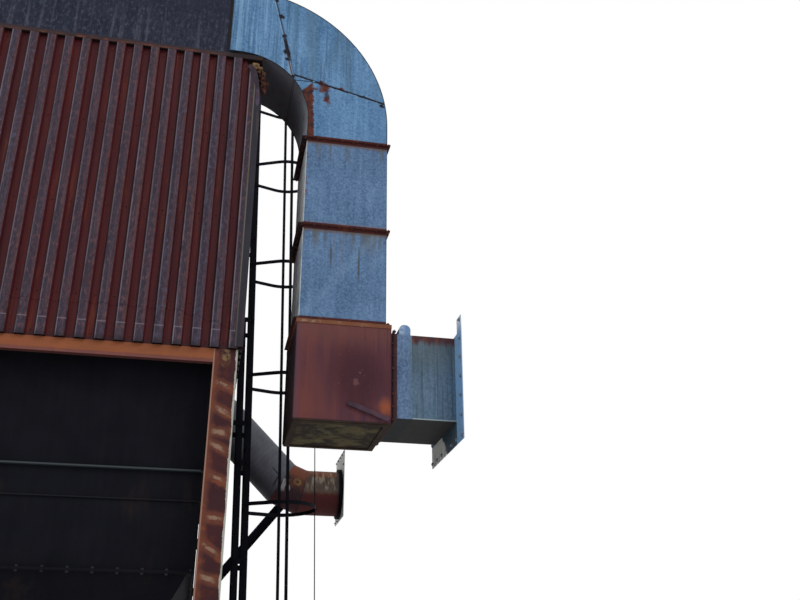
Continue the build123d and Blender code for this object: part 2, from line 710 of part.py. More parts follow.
rung_h = [450 + i * rung_pitch for i in range(int((ladder_top - 500) / rung_pitch))]
with BuildPart() as ladder_rungs:
    with BuildSketch(Plane(origin=(ladder_foot_x, ladder_y + half - 5, 0), x_dir=lean_x, z_dir=(0, -1, 0))):
        with Locations(*[(0, h) for h in rung_h]):
            Circle(11)
    extrude(amount=ladder_width - 10)
save(ladder_rungs.part, "ladder_rungs")

hoop_h = [ladder_top * share for share in (0.2736, 0.4209, 0.577, 0.7263, 0.8732)] + [ladder_top - hoop_height]


def hoop_side(radius, root):
    # where a straight side from the rail runs into the ring
    reach = sqrt(cage_centre ** 2 + root ** 2)
    turn = pi - atan2(root, cage_centre) - acos(radius / reach)
    return cage_centre + radius * cos(turn), radius * sin(turn)


with BuildPart() as cage_hoops:
    for h in hoop_h:
        with BuildSketch(ladder.offset(h)):
            for skin, mode in ((6, Mode.ADD), (0, Mode.SUBTRACT)):
                radius, root = cage_radius - 6 + skin, half + 5 + skin
                x, y = hoop_side(radius, root)
                with Locations((cage_centre, 0)):
                    Circle(radius, mode=mode)
                Polygon((-25, -root), (0, -root), (x, -y), (x, y), (0, root), (-25, root), align=None, mode=mode)
        extrude(amount=hoop_height)
save(cage_hoops.part, "cage_hoops")

# upright straps inside the hoops: one outermost, one each side
strap_width = 30
with BuildPart() as cage_straps:
    with BuildSketch(ladder.offset(hoop_h[0])):
        with Locations((cage_centre, 0)):
            Circle(cage_radius - 6)
            Circle(cage_radius - 12, mode=Mode.SUBTRACT)
            Rectangle(cage_radius, strap_width, align=(Align.MIN, Align.CENTER), mode=Mode.INTERSECT)
        for s, shift in ((-1, 24), (1, 4)):
            reach = sqrt((cage_radius - 6) ** 2 - (shift + strap_width / 2) ** 2)
            with Locations((cage_centre + shift, s * (reach - 3))):
                Rectangle(strap_width, 6)
    extrude(amount=ladder_top - hoop_h[0])
save(cage_straps.part, "cage_straps")

# channel posts behind the rails, standing on foot plates
post_x, post_width = -86, 52
post_top = (frame_top + cladding_top) / 2 + 192
with BuildPart() as ladder_posts:
    with BuildSketch(ladder.offset(-20)):
        for s in (-1, 1):
            with Locations((post_x, s * (half - 15))):
                Rectangle(post_width, 40)
            with Locations((post_x, s * (half - 21))):
                Rectangle(post_width - 12, 40, mode=Mode.SUBTRACT)
    extrude(amount=post_top + 20)
    split(bisect_by=Plane.XY.offset(10), keep=Keep.TOP)
    with BuildSketch():
        with Locations(*[(ladder_foot_x + post_x, ladder_y + s * (half - 15)) for s in (-1, 1)]):
            Rectangle(140, 90)
    extrude(amount=10)
save(ladder_posts.part, "ladder_posts")

# flat bars on the rails' outer faces: clips to the posts, arms to the casing and to the plenum
arm_face = half + 5
clip_height = 50
clip_h = [frame_top * share for share in (0.18, 0.45, 0.745, 0.978)]
arms = [(lap_z + 35, x_right - 3), ((frame_top + cladding_top) / 2 + 162, x_right - 3),
        (cladding_top - 114, x_right - 3), (roof_top - 210, plenum_right)]
with BuildPart() as ladder_brackets:
    for s in (-1, 1):
        with BuildSketch(Plane(origin=(ladder_foot_x, ladder_y + s * arm_face, 0), x_dir=lean_x, z_dir=(0, -1, 0))):
            with Locations(*[(25, h) for h in clip_h]):
                Rectangle(25 - post_x + post_width / 2, clip_height, align=(Align.MAX, Align.CENTER))
        extrude(amount=-s * 8)
        for z, start in arms:
            end = ladder_foot_x - z * tan(radians(ladder_lean)) + 25
            with BuildSketch(Plane.XY.offset(z - clip_height / 2)):
                Polygon((start, ladder_y + s * arm_face), (end, ladder_y + s * arm_face),
                        (end, ladder_y + s * (arm_face + 8)), (start + 8, ladder_y + s * (arm_face + 8)),
                        (start + 8, ladder_y + s * (arm_face + 80)), (start, ladder_y + s * (arm_face + 80)),
                        align=None)
            extrude(amount=clip_height)
save(ladder_brackets.part, "ladder_brackets")
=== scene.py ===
import math
import random

import bpy
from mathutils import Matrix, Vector


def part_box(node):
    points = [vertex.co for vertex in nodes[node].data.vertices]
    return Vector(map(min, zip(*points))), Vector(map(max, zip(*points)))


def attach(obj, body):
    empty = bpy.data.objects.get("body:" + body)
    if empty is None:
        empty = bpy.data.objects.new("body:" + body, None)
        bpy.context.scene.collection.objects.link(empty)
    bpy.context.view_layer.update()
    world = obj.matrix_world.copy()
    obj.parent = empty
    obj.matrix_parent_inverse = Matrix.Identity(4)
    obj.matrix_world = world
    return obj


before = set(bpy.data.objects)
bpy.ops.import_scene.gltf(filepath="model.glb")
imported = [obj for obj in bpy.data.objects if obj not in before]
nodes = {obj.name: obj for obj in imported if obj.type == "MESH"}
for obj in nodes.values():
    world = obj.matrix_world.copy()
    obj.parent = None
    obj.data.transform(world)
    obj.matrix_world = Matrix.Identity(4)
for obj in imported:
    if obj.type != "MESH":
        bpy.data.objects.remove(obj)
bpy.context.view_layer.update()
print("frame loaded,", len(nodes), "nodes")


def low(node, axis):
    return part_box(node)[0][axis]


def high(node, axis):
    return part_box(node)[1][axis]


# edges of the main pieces, read from the frame
casingLeft, casingRight = low("corner_trims", 0), high("corner_trims", 0)
casingFront, casingRear = low("corner_trims", 1), high("corner_trims", 1)
casingMidY = (casingFront + casingRear) / 2
frameTop, claddingTop = high("columns", 2), high("front_cladding", 2)
lapHeight = low("rear_cladding", 2)
roofTop = high("plenum_roof", 2)
plenumRight = high("plenum_side_walls", 0)
ductLeft, ductRight = low("upper_duct", 0), high("upper_duct", 0)
ductFront, ductRear = low("upper_duct", 1), high("upper_duct", 1)
jointHalf = 0.0015  # half the thickness of a sealing strip
sideJointX = high("joint_gaskets", 0) - jointHalf
jointHeights = [high("upper_duct", 2) + jointHalf, high("lower_duct", 2) + jointHalf,
                low("lower_duct", 2) - jointHalf]
bend = {"inner": 0.56, "outer": 1.19, "z": 5.93}
bend["x"] = ductLeft - bend["inner"]
boxWide = 0.68
boxLeft, boxRight = low("junction_box", 0), low("box_floor", 0) + boxWide
boxFront, boxRear = low("junction_box", 1), high("junction_box", 1)
boxLow, boxHigh = low("junction_box", 2), jointHeights[2] - jointHalf
runLow, runHigh = low("wall_duct", 2), high("wall_duct", 2)
wallFace = low("wall_plate", 0)
inletY = (low("inlet_run", 1) + high("inlet_run", 1)) / 2
inletZ = (low("inlet_run", 2) + high("inlet_run", 2)) / 2
inletRadius = (high("inlet_run", 1) - low("inlet_run", 1)) / 2
columnHalfX, columnHalfY = 0.0825, 0.1015  # half a column's flange and half its depth
columnMiddle = (low("columns", 0) + high("columns", 0)) / 2
columnReach = (high("columns", 0) - low("columns", 0)) / 2 - columnHalfX


def sign(operation, swap=False):  # an operator between wires, as a math node
    return lambda wire, other: wire.calc(operation, other, swap)


class Wire:  # one socket of a node tree, used in sums like a number
    def __init__(self, tree, socket=None):
        self.tree = tree
        self.socket = socket

    def node(self, kind, sockets=None, out=0, **settings):
        made = self.tree.nodes.new(kind)
        for name, value in settings.items():
            setattr(made, name, value)
        for name, value in (sockets or {}).items():
            if isinstance(value, Wire):
                self.tree.links.new(value.socket, made.inputs[name])
            else:
                made.inputs[name].default_value = value
        return Wire(self.tree, made.outputs[out] if made.outputs else None)

    def also(self, out):  # another output of the same node
        return Wire(self.tree, self.socket.node.outputs[out])

    def calc(self, operation, other=None, swap=False, clamp=False):
        pair = (other, self) if swap else (self, other)
        values = {i: value for i, value in enumerate(pair) if value is not None}
        return self.node("ShaderNodeMath", values, operation=operation, use_clamp=clamp)

    __add__ = __radd__ = sign("ADD")
    __mul__ = __rmul__ = sign("MULTIPLY")
    __sub__ = sign("SUBTRACT")
    __rsub__ = sign("SUBTRACT", swap=True)
    __truediv__ = sign("DIVIDE")
    __pow__ = sign("POWER")
    __gt__ = sign("GREATER_THAN")
    __lt__ = sign("LESS_THAN")
    most = sign("MAXIMUM")

    def __abs__(self):
        return self.calc("ABSOLUTE")

    def clip(self):
        return self.calc("ADD", 0.0, clamp=True)

    def ease(self, start, end):  # 0 at start, 1 at end, smooth between; start may be the larger
        return self.node("ShaderNodeMapRange", {"Value": self, "From Min": start, "From Max": end},
                         interpolation_type="SMOOTHSTEP")

    def line(self, at, width):  # 1 within width of a value, soft at its edges
        return abs(self - at).ease(width, width * 0.4)

    def mix(self, first, second):  # self is the factor; each end is a wire or an 8 bit display colour
        ends = [end if isinstance(end, Wire) else paint(end) for end in (first, second)]
        return self.node("ShaderNodeMix", {0: self, 6: ends[0], 7: ends[1]}, 2, data_type="RGBA")

    def scaled(self, x, y, z):
        return self.node("ShaderNodeVectorMath", {0: self, 1: (x, y, z)}, operation="MULTIPLY")

    def noise(self, scale, detail, rough):
        sockets = {"Vector": self, "Scale": scale, "Detail": detail, "Roughness": rough}
        return self.node("ShaderNodeTexNoise", sockets)

    def drawn(self, down, *noise):  # noise drawn out down the face, as rain leaves it
        return self.scaled(1, 1, down).noise(*noise)


def paint(display):  # an 8 bit display colour as the shader's linear one
    return tuple(c / 3294.6 if c <= 10.3 else ((c / 255 + 0.055) / 1.055) ** 2.4 for c in display) + (1.0,)


def startFinish(name):
    material = bpy.data.materials.new(name)
    material.use_nodes = True
    material.node_tree.nodes.clear()
    spot = Wire(material.node_tree).node("ShaderNodeTexCoord", out=3)
    x = spot.node("ShaderNodeSeparateXYZ", {"Vector": spot})
    return material, spot, x, x.also(1), x.also(2)


class Coat:  # a colour built up in layers, from the colours of one look
    def __init__(self, look, colour):
        self.look = look
        self.colour = colour

    def __call__(self, tint, where, share=None):  # tint is a colour of the look by name, or a wire
        factor = where if share is None else where * share
        self.colour = factor.mix(self.colour, tint if isinstance(tint, Wire) else self.look[tint])


bumpDepth = 0.003


def endFinish(spot, colour, roughness, metallic=0.0, height=None, strength=0.25, shine=0.2):
    sockets = {"Base Color": colour, "Roughness": roughness, "Metallic": metallic}
    sockets["Specular IOR Level"] = shine
    if height is not None:
        bump = {"Height": height, "Strength": strength, "Distance": bumpDepth}
        sockets["Normal"] = spot.node("ShaderNodeBump", bump)
    shader = spot.node("ShaderNodeBsdfPrincipled", sockets)
    spot.node("ShaderNodeOutputMaterial", {"Surface": shader})


def facing(spot, axis):  # which way the surface looks, along one axis
    normal = spot.node("ShaderNodeNewGeometry", out=1)
    return spot.node("ShaderNodeSeparateXYZ", {"Vector": normal}, out=axis)


def blot(spot, x, z, centre, radius, ragged):  # one stain on an upright face, with a torn outline
    reach = ((x - centre[0]) ** 2 + (z - centre[1]) ** 2) ** 0.5
    reach = reach + (spot.noise(28, 4, 0.65) - 0.5) * (radius * 2 * ragged)
    return reach.ease(radius, radius * 0.45)


# galvanised sheet of the square duct; the blue cast of its colours is painted sky light
galvanised = {
    "bright": (106, 150, 190), "dull": (46, 88, 128), "rust": (112, 58, 40), "spots": 0.35, "streak": 0.8,
    "speckle": 1.5, "clouds": 0.8,
}


def galvanisedFinish(name, look, dress=None):
    material, spot, x, y, z = startFinish(name)
    streaks = spot.drawn(0.05, 26, 4, 0.6)
    speckle = spot.noise(70, 3, 0.6)
    clouds = spot.noise(2.4, 3, 0.5)
    spangle = spot.node("ShaderNodeTexVoronoi", {"Vector": spot, "Scale": 64}, out=1)
    cell = spot.node("ShaderNodeSeparateXYZ", {"Vector": spangle})
    tone = (streaks - 0.5) * look["streak"] + (speckle - 0.5) * look["speckle"]
    tone = (tone + (clouds - 0.5) * look["clouds"] + (cell - 0.5) * 0.22 + 0.5).clip()
    coat = Coat(look, tone.mix(look["dull"], look["bright"]))
    rust = spot.noise(9, 6, 0.72).ease(0.68, 0.76) * look["spots"]
    coat("rust", rust)
    if dress:
        rust = dress(coat, spot, x, y, z, rust, streaks)
    rough = (0.5 + (speckle - 0.5) * 0.5 + rust * 0.35).clip()
    height = speckle * 0.35 + clouds * 0.6 + rust * 0.3
    endFinish(spot, coat.colour, rough, (1 - rust).clip() * 0.12, height, 0.2, 0.16)
    return material


# seams of the bend, from its outer edge to its throat, as points on the cheek
elbowSeams = {
    "mouth": [(0.513, 7.096), (0.524, 7.054), (0.566, 6.885), (0.617, 6.679), (0.639, 6.543), (0.679, 6.371),
              (0.704, 6.292)],
    "foot": [(1.443, 6.150), (1.242, 6.203), (1.079, 6.237), (0.957, 6.267), (0.835, 6.283), (0.7145, 6.279)],
}
seamSlopes = {"mouth": (0.524, 7.054, 0.2417), "foot": (0.835, 6.297, 0.2416)}  # a point and the slope
elbowMarks = [
    ((0.53, 7.05), 0.024), ((0.578, 6.886), 0.032), ((0.612, 6.70), 0.024), ((0.628, 6.60), 0.018),
    ((0.640, 6.543), 0.036), ((0.655, 6.47), 0.026), ((0.70, 6.31), 0.024), ((1.05, 6.245), 0.014),
    ((1.16, 6.222), 0.012), ((1.27, 6.197), 0.018), ((1.425, 6.13), 0.026),
]
elbowRust = [((0.957, 6.235), 0.06), ((0.925, 6.275), 0.03), ((0.97, 6.13), 0.035), ((1.09, 6.245), 0.022)]
elbowLook = {
    **galvanised, "speckle": 1.3, "streak": 1.1, "bright": (110, 150, 188),
    "pale streak": (130, 166, 198), "dark streak": (56, 82, 110), "wash": (66, 88, 104),
    "lap shadow": (50, 70, 92), "lap glint": (140, 168, 196), "bare strip": (150, 126, 116),
    "pits": (44, 54, 78), "new rust": (90, 42, 22), "old rust": (50, 26, 20), "scale": (24, 12, 15),
    "foot": (120, 82, 60), "shaded throat": (92, 92, 99), "sunlit throat": (160, 168, 176),
    "scab": (96, 72, 58),
}


def elbowDress(coat, spot, x, y, z, rust, streaks):
    mouthX, mouthZ, mouthSlope = seamSlopes["mouth"]
    footX, footZ, footSlope = seamSlopes["foot"]
    mouthSeam = (mouthZ - z) * mouthSlope + mouthX - x  # above nought left of the first seam
    footSeam = footZ - (x - footX) * footSlope - z  # above nought under the second seam
    left = mouthSeam > 0
    thin = spot.drawn(0.035, 38, 4, 0.65)
    upper = (footSeam < 0).most(left)
    coat("pale streak", thin.ease(0.52, 0.64) * left, 0.5)
    coat("dark streak", thin.ease(0.47, 0.36) * upper, 0.55)
    wash = spot.drawn(0.1, 7, 3, 0.5).ease(0.5, 0.66) * (1 - left)
    coat("wash", wash * upper, 0.35)
    for seam, far in ((mouthSeam, z > 6.28), (footSeam, x > 0.71)):  # lap shadow beside each seam
        coat("lap shadow", seam.line(-0.008, 0.008) * far, 0.5)
        coat("lap glint", seam.line(0.009, 0.007) * far, 0.35)
    coat("bare strip", (mouthSeam - 0.012).line(0.0, 0.014) * z.line(6.42, 0.16), 0.5)
    pits = spot.noise(85, 3, 0.7).ease(0.55, 0.65) * blot(spot, x, z, (0.925, 6.12), 0.085, 0.8)
    coat("pits", pits, 0.65)
    torn = (spot.noise(34, 4, 0.7) - 0.5) * 0.05
    marks = (footSeam + torn * 0.3).line(0.0, 0.013) * (x > 0.71) * spot.noise(12, 4, 0.7).ease(0.38, 0.5)
    marks = marks.most((mouthSeam + torn * 0.3).line(0.0, 0.021) * z.line(6.58, 0.16))
    for centre, radius in elbowMarks:
        marks = marks.most(blot(spot, x, z, centre, radius, 1.1))
    patch = (x - 0.957 + (z - 6.267) * 0.2 + torn).line(0.0, 0.024) * z.ease(6.05, 6.12) * (z < 6.26) * 0.8
    for centre, radius in elbowRust:
        patch = patch.most(blot(spot, x, z, centre, radius, 1.0))
    edge = ((6.252 - z) * 0.055 + 0.863 - x + torn * 0.9).ease(-0.004, 0.008)
    edge = edge.most((6.3 - z + torn - (x - 0.7) * 0.35).ease(0.0, 0.02) * (6.21 - z + torn < 0) * (x < 0.9))
    slope = (x - 0.755) * 1.1 + 6.165 - z + torn * 0.6  # the strip ends in a slant towards the bend
    patch = patch.most(edge * (slope > 0) * (z < 6.275) * (z > 5.745) * (x > 0.7))
    cheek = abs(facing(spot, 1)) > 0.9
    patch, marks = patch * cheek, marks * cheek
    tan = spot.noise(20, 4, 0.65).ease(0.45, 0.62)
    coat(tan.mix(coat.look["new rust"], coat.look["old rust"]), patch, 0.97)
    coat("scale", marks, 0.96)
    coat("foot", z.ease(5.80, 5.765) * spot.drawn(0.2, 10, 4, 0.6).ease(0.45, 0.6) * cheek, 0.4)
    radius = ((x - bend["x"]) ** 2 + (z - bend["z"]) ** 2) ** 0.5  # inside of the bend: painted shade on its upper part, painted sunlight on its lower part
    inside = (radius < bend["inner"] + 0.004) * (1 - cheek) * (x < ductLeft + 0.001)
    coat(z.ease(6.3, 5.9).mix(coat.look["shaded throat"], coat.look["sunlit throat"]), inside, 0.97)
    coat("scab", inside * spot.noise(11, 5, 0.7).ease(0.52, 0.62), 0.5)
    return rust.most(marks).most(patch)


ductLook = {
    **galvanised, "bright": (106, 136, 172), "dull": (50, 78, 112), "ring stain": (104, 76, 46),
    "above ring": (126, 100, 84), "long run": (104, 98, 96), "screw run": (62, 62, 54),
    "corner rust": (104, 58, 46), "side": (206, 214, 216), "side spots": (118, 84, 66),
    "stain": (88, 82, 60), "chalk": (132, 160, 186),
}


def ductDress(coat, spot, x, y, z, rust, streaks):
    wander = (spot.noise(7, 3, 0.6) - 0.5) * 0.03
    drips = spot.drawn(0.04, 15, 4, 0.65).ease(0.5, 0.64)
    for joint in jointHeights[:2]:  # stains that run down from each angle ring
        below = joint - z
        band = below.ease(0.062, 0.03) * (below > 0)
        fall = (below + wander).ease(0.26, 0.03) * (below > 0) * drips
        rust = rust.most(band * 0.5).most(fall * 0.45)
        coat("ring stain", band, 0.65)
        coat("stain", fall, 0.6)
        above = z - joint
        coat("above ring", above.ease(0.05, 0.027) * (above > 0), 0.3)
    for at, wide in ((1.07, 0.012), (1.13, 0.02), (1.36, 0.014)):  # long runs on the lower section
        run = (x - at + (streaks - 0.5) * 0.03).line(0.0, wide) * z.ease(4.5, 4.9) * (z < jointHeights[1])
        coat("long run", run, 0.3)
    for at, foot in ((1.048, 4.6), (1.258, 4.5)):  # two thin brown runs from old screws
        run = (x - at + (streaks - 0.5) * 0.012).line(0.0, 0.009)
        run = run * z.ease(foot, foot + 0.14) * z.ease(4.86, 4.8)
        coat("screw run", run, 0.75)
    # a faint pale diagonal band on the lower section: painted sheen
    coat("chalk", (x - 0.84 - (z - 4.25) * 0.78).line(0.0, 0.05) * (z < 4.95), 0.12)
    nibble = (x - ductLeft).ease(0.032, 0.004) * z.ease(5.15, 5.3) * z.ease(5.72, 5.6)
    nibble = nibble * spot.noise(24, 4, 0.7).ease(0.52, 0.6)
    coat("corner rust", nibble, 0.85)
    # the duct's left face: pale clouds of painted sunlight, with rust spots in them
    side = (x < ductLeft + 0.001) * spot.noise(3, 3, 0.5).ease(0.2, 0.45)
    coat("side", side, 0.9)
    coat("side spots", side * spot.noise(16, 5, 0.7).ease(0.56, 0.64), 0.7)
    return rust.most(nibble)


runLook = {
    **galvanised, "bright": (104, 128, 152), "dull": (54, 76, 94), "streak": 1.0, "speckle": 1.1,
    "fine": (44, 56, 62), "upper": (78, 88, 84), "top edge": (72, 38, 40), "top rust": (118, 72, 48),
    "low edge": (150, 164, 168), "under": (42, 40, 36),
}


def runDress(coat, spot, x, y, z, rust, streaks):
    down = runHigh - z
    coat("fine", spot.drawn(0.02, 75, 3, 0.6).ease(0.5, 0.64), 0.5)
    coat("upper", down.ease(0.36, 0.12), 0.45)
    drips = spot.drawn(0.1, 22, 4, 0.65)
    top = (down + (drips - 0.5) * 0.22).ease(0.085, 0.02)
    coat("top edge", top, 0.9)
    coat("top rust", top * spot.noise(20, 4, 0.7).ease(0.5, 0.62), 0.6)
    coat("low edge", (z - runLow).ease(0.012, 0.005), 0.8)
    # downward faces: painted shade
    under = facing(spot, 2) < -0.5
    coat("under", under, 0.95)
    return rust.most(top).most(under)


spoolLook = {
    **galvanised, "bright": (112, 138, 172), "dull": (58, 80, 110), "hood": (106, 138, 182),
    "faded hood": (176, 190, 204), "green": (84, 100, 100), "under": (44, 43, 39),
}


def spoolDress(coat, spot, x, y, z, rust, streaks):
    hood = z.ease(runHigh - 0.01, runHigh + 0.02)
    coat("hood", hood, 0.6)
    coat("faded hood", hood * spot.noise(14, 3, 0.5).ease(0.5, 0.6) * x.ease(1.62, 1.58), 0.6)
    coat("green", (x - sideJointX).ease(0.09, 0.13) * (1 - hood) * streaks.ease(0.4, 0.6), 0.4)
    # downward faces below the hood: painted shade
    under = facing(spot, 2) < -0.5
    coat("under", under * (1 - hood), 0.95)
    return rust.most(under)


plateLook = {
    **galvanised, "bright": (142, 184, 226), "dull": (96, 134, 174), "speckle": 1.2,
    "beside duct": (44, 50, 46), "far side": (236, 240, 234), "top": (226, 234, 240),
    "rim": (140, 160, 184), "foot": (96, 92, 84),
}


def plateDress(coat, spot, x, y, z, rust, streaks):
    plateLow, plateHigh = low("wall_plate", 2), high("wall_plate", 2)
    beside = y > -2.97
    # painted shade on the plate below the duct
    coat("beside duct", beside * (z < runLow), 0.85)
    # a pale patch of painted sunlight in the plate's far lower corner, with a slanted edge
    far = (y + (runLow - z) * 0.9 + (spot.noise(9, 4, 0.6) - 0.5) * 0.08).ease(-2.56, -2.53) * (z < runLow)
    coat("far side", far, 0.95)
    coat("top", (1 - beside) * z.ease(plateHigh - 0.13, plateHigh - 0.04), 0.8)
    coat("rim", (y - low("wall_plate", 1)).ease(0.02, 0.008), 0.4)
    coat("foot", (z - plateLow).ease(0.12, 0.03) * streaks.ease(0.45, 0.6), 0.4)
    return rust


# rusting red paint of the steel frame and the angle rings
rustedPaint = {
    "red": (104, 52, 42), "dark": (62, 34, 34), "orange": (146, 80, 48),
    "pale": (150, 112, 78), "patches": 0.5, "pale share": 0.15, "grain": 1.0,
}


def rustedFinish(name, look, dress=None):
    material, spot, x, y, z = startFinish(name)
    clouds = spot.noise(3.4 * look["grain"], 4, 0.6)
    patches = spot.noise(12 * look["grain"], 6, 0.7)
    specks = spot.noise(120, 2, 0.5)
    coat = Coat(look, clouds.ease(0.35, 0.65).mix(look["red"], look["dark"]))
    coat("orange", patches.ease(0.5, 0.66) * look["patches"])
    pale = spot.noise(7 * look["grain"], 6, 0.75).ease(0.62, 0.7)
    coat("pale", pale * look["pale share"])
    coat("dark", specks.ease(0.5, 0.8), 0.3)
    if dress:
        dress(coat, spot, x, y, z)
    endFinish(spot, coat.colour, 0.72 + (patches - 0.5) * 0.3, 0.0, patches + specks * 0.4, 0.35, 0.2)
    return material


# short slanting pale bands up the column's flange
slantBandHeights = [3.70, 3.52, 3.37, 3.27, 3.06, 2.80, 2.60, 2.42, 2.21, 2.03, 1.84, 1.62, 1.45, 1.24, 1.05,
                 0.86, 0.66, 0.45]
columnLook = {
    **rustedPaint, "red": (88, 46, 40), "dark": (56, 32, 36), "shade": (52, 21, 28),
    "glow": (112, 62, 42), "left edge": (116, 62, 42), "scrape": (148, 122, 102),
    "left rim": (158, 124, 108), "right rim": (170, 172, 162), "top mark": (134, 112, 78),
}


def columnDress(coat, spot, x, y, z):
    left = x < columnMiddle
    across = x - columnMiddle - columnReach + left * (2 * columnReach)
    shift = z + (y - casingFront) * 0.03
    wobble = (spot.noise(9, 3, 0.6) - 0.5) * 0.05
    bands, glow = None, None
    for i, height in enumerate(slantBandHeights):
        slope, side = 0.35 + 0.25 * math.sin(i * 2.3), 0.012 * math.sin(i * 1.7)
        away = shift - height + across * slope + wobble * 0.8
        band = away.line(0.0, 0.02 + 0.006 * math.sin(i)) * abs(across - side).ease(0.066, 0.02)
        near = away.line(0.0, 0.055)
        bands = band if bands is None else bands.most(band)
        glow = near if glow is None else glow.most(near)
    coat("shade", (1 - glow) * (across + wobble).ease(-0.06, -0.02), 0.78)
    coat("glow", glow, 0.45)
    coat("left edge", (across + wobble).ease(-0.03, -0.075), 0.5)
    bands = bands * spot.noise(26, 4, 0.65).ease(0.34, 0.56)
    coat("scrape", bands, 0.7)
    coat("left rim", (across + columnHalfX).ease(0.011, 0.007), 0.8)
    chips = (spot.drawn(0.6, 13, 5, 0.75) - 0.5) * 0.035
    rimRight = (across - columnHalfX + 0.014 + chips).ease(0.0, 0.002) * (y < casingFront + 0.3)
    coat("right rim", rimRight, 0.95)
    top = (frameTop - z + wobble * 0.5).ease(0.14, 0.09) * (across + wobble * 0.5).line(0.005, 0.038)
    coat("top mark", top * spot.noise(22, 4, 0.7).ease(0.4, 0.58), 0.7)


beamLook = {
    **rustedPaint, "upper": (150, 88, 54), "lower": (122, 76, 72), "under": (56, 32, 32),
}


def beamDress(coat, spot, x, y, z):
    lower = (z - (frameTop - 0.1)).ease(0.03, 0.012)
    grain = spot.scaled(0.2, 0.2, 1).noise(30, 4, 0.6)
    coat("upper", ((1 - lower) * (0.45 + grain * 0.5)).clip())
    coat("lower", lower, 0.7)
    # downward faces: painted shade
    coat("under", facing(spot, 2) < -0.5, 0.6)


ringLook = {
    **rustedPaint, "red": (76, 34, 32), "dark": (54, 26, 30), "patches": 0.35, "pale share": 0.06,
    "cap": (132, 84, 58), "worn cap": (142, 136, 126), "back": (26, 20, 24), "side": (64, 46, 54),
}


def ringDress(coat, spot, x, y, z):
    onCap = (z < boxHigh + 0.002) * (z > jointHeights[2] - 0.036) * (x < boxRight + 0.02)
    worn = spot.drawn(2, 12, 4, 0.65)
    coat("cap", (onCap * (z < jointHeights[2] + 0.002)) * (worn * 0.9 + 0.35).clip(), 0.85)
    coat("worn cap", onCap * worn.ease(0.56, 0.68), 0.7)
    # the rings' left returns: painted shade
    coat("back", (x < ductLeft - 0.002) * (z > jointHeights[2] + 0.002), 0.7)
    coat("side", (x > boxRight + 0.006) * (z < boxHigh + 0.002), 0.7)


capLook = {
    **rustedPaint, "red": (78, 46, 40), "dark": (44, 30, 30), "patches": 0.45, "upper": (42, 38, 46),
    "shadow": (22, 17, 20), "wet": (28, 20, 21),
}


def capDress(coat, spot, x, y, z):
    rise = z - claddingTop + (spot.noise(16, 3, 0.6) - 0.5) * 0.012
    coat("upper", rise.ease(0.016, 0.022), 0.85)
    coat("shadow", rise.ease(0.006, 0.003), 0.8)
    # painted shade on the cap angle below the bend
    coat("wet", (x + (spot.noise(6, 4, 0.6) - 0.5) * 0.1).ease(0.17, 0.23) * (y < ductFront + 0.4), 0.85)


# box rib sheet; each rib weathers its own way
ribSheet = {
    "grey": (50, 44, 58), "purple": (70, 52, 65), "brown": (80, 50, 49), "valley": (84, 24, 28),
    # line is a painted highlight on the crests; edge is a painted shade in the webs, also laid towards the
    # bottom
    "groove": (50, 20, 27), "line": (122, 116, 130), "edge": (24, 16, 21), "rust": (114, 52, 30),
    "skirt": (56, 52, 68), "streaks": (40, 29, 40), "runs": (94, 76, 84), "warm mottle": (92, 62, 66),
    "cool mottle": (74, 68, 88), "dark mottle": (36, 24, 34), "rust patch": (86, 42, 36),
    "lap top": (132, 118, 128), "scratch": (122, 108, 112),
    "half crest": 0.031, "web": 0.01, "pitch": 0.127, "end margin": 0.003, "side margin": 0.044,
    "corner": 0.0435, "spacing": 0.128, "lap": 0.128,
}
endLength = casingRight - casingLeft - 2 * ribSheet["end margin"]
sideLength = casingRear - casingFront - 2 * ribSheet["side margin"]
endCount, sideCount = round(endLength / ribSheet["pitch"]), round(sideLength / ribSheet["pitch"])
endPitch, sidePitch = endLength / endCount, sideLength / sideCount


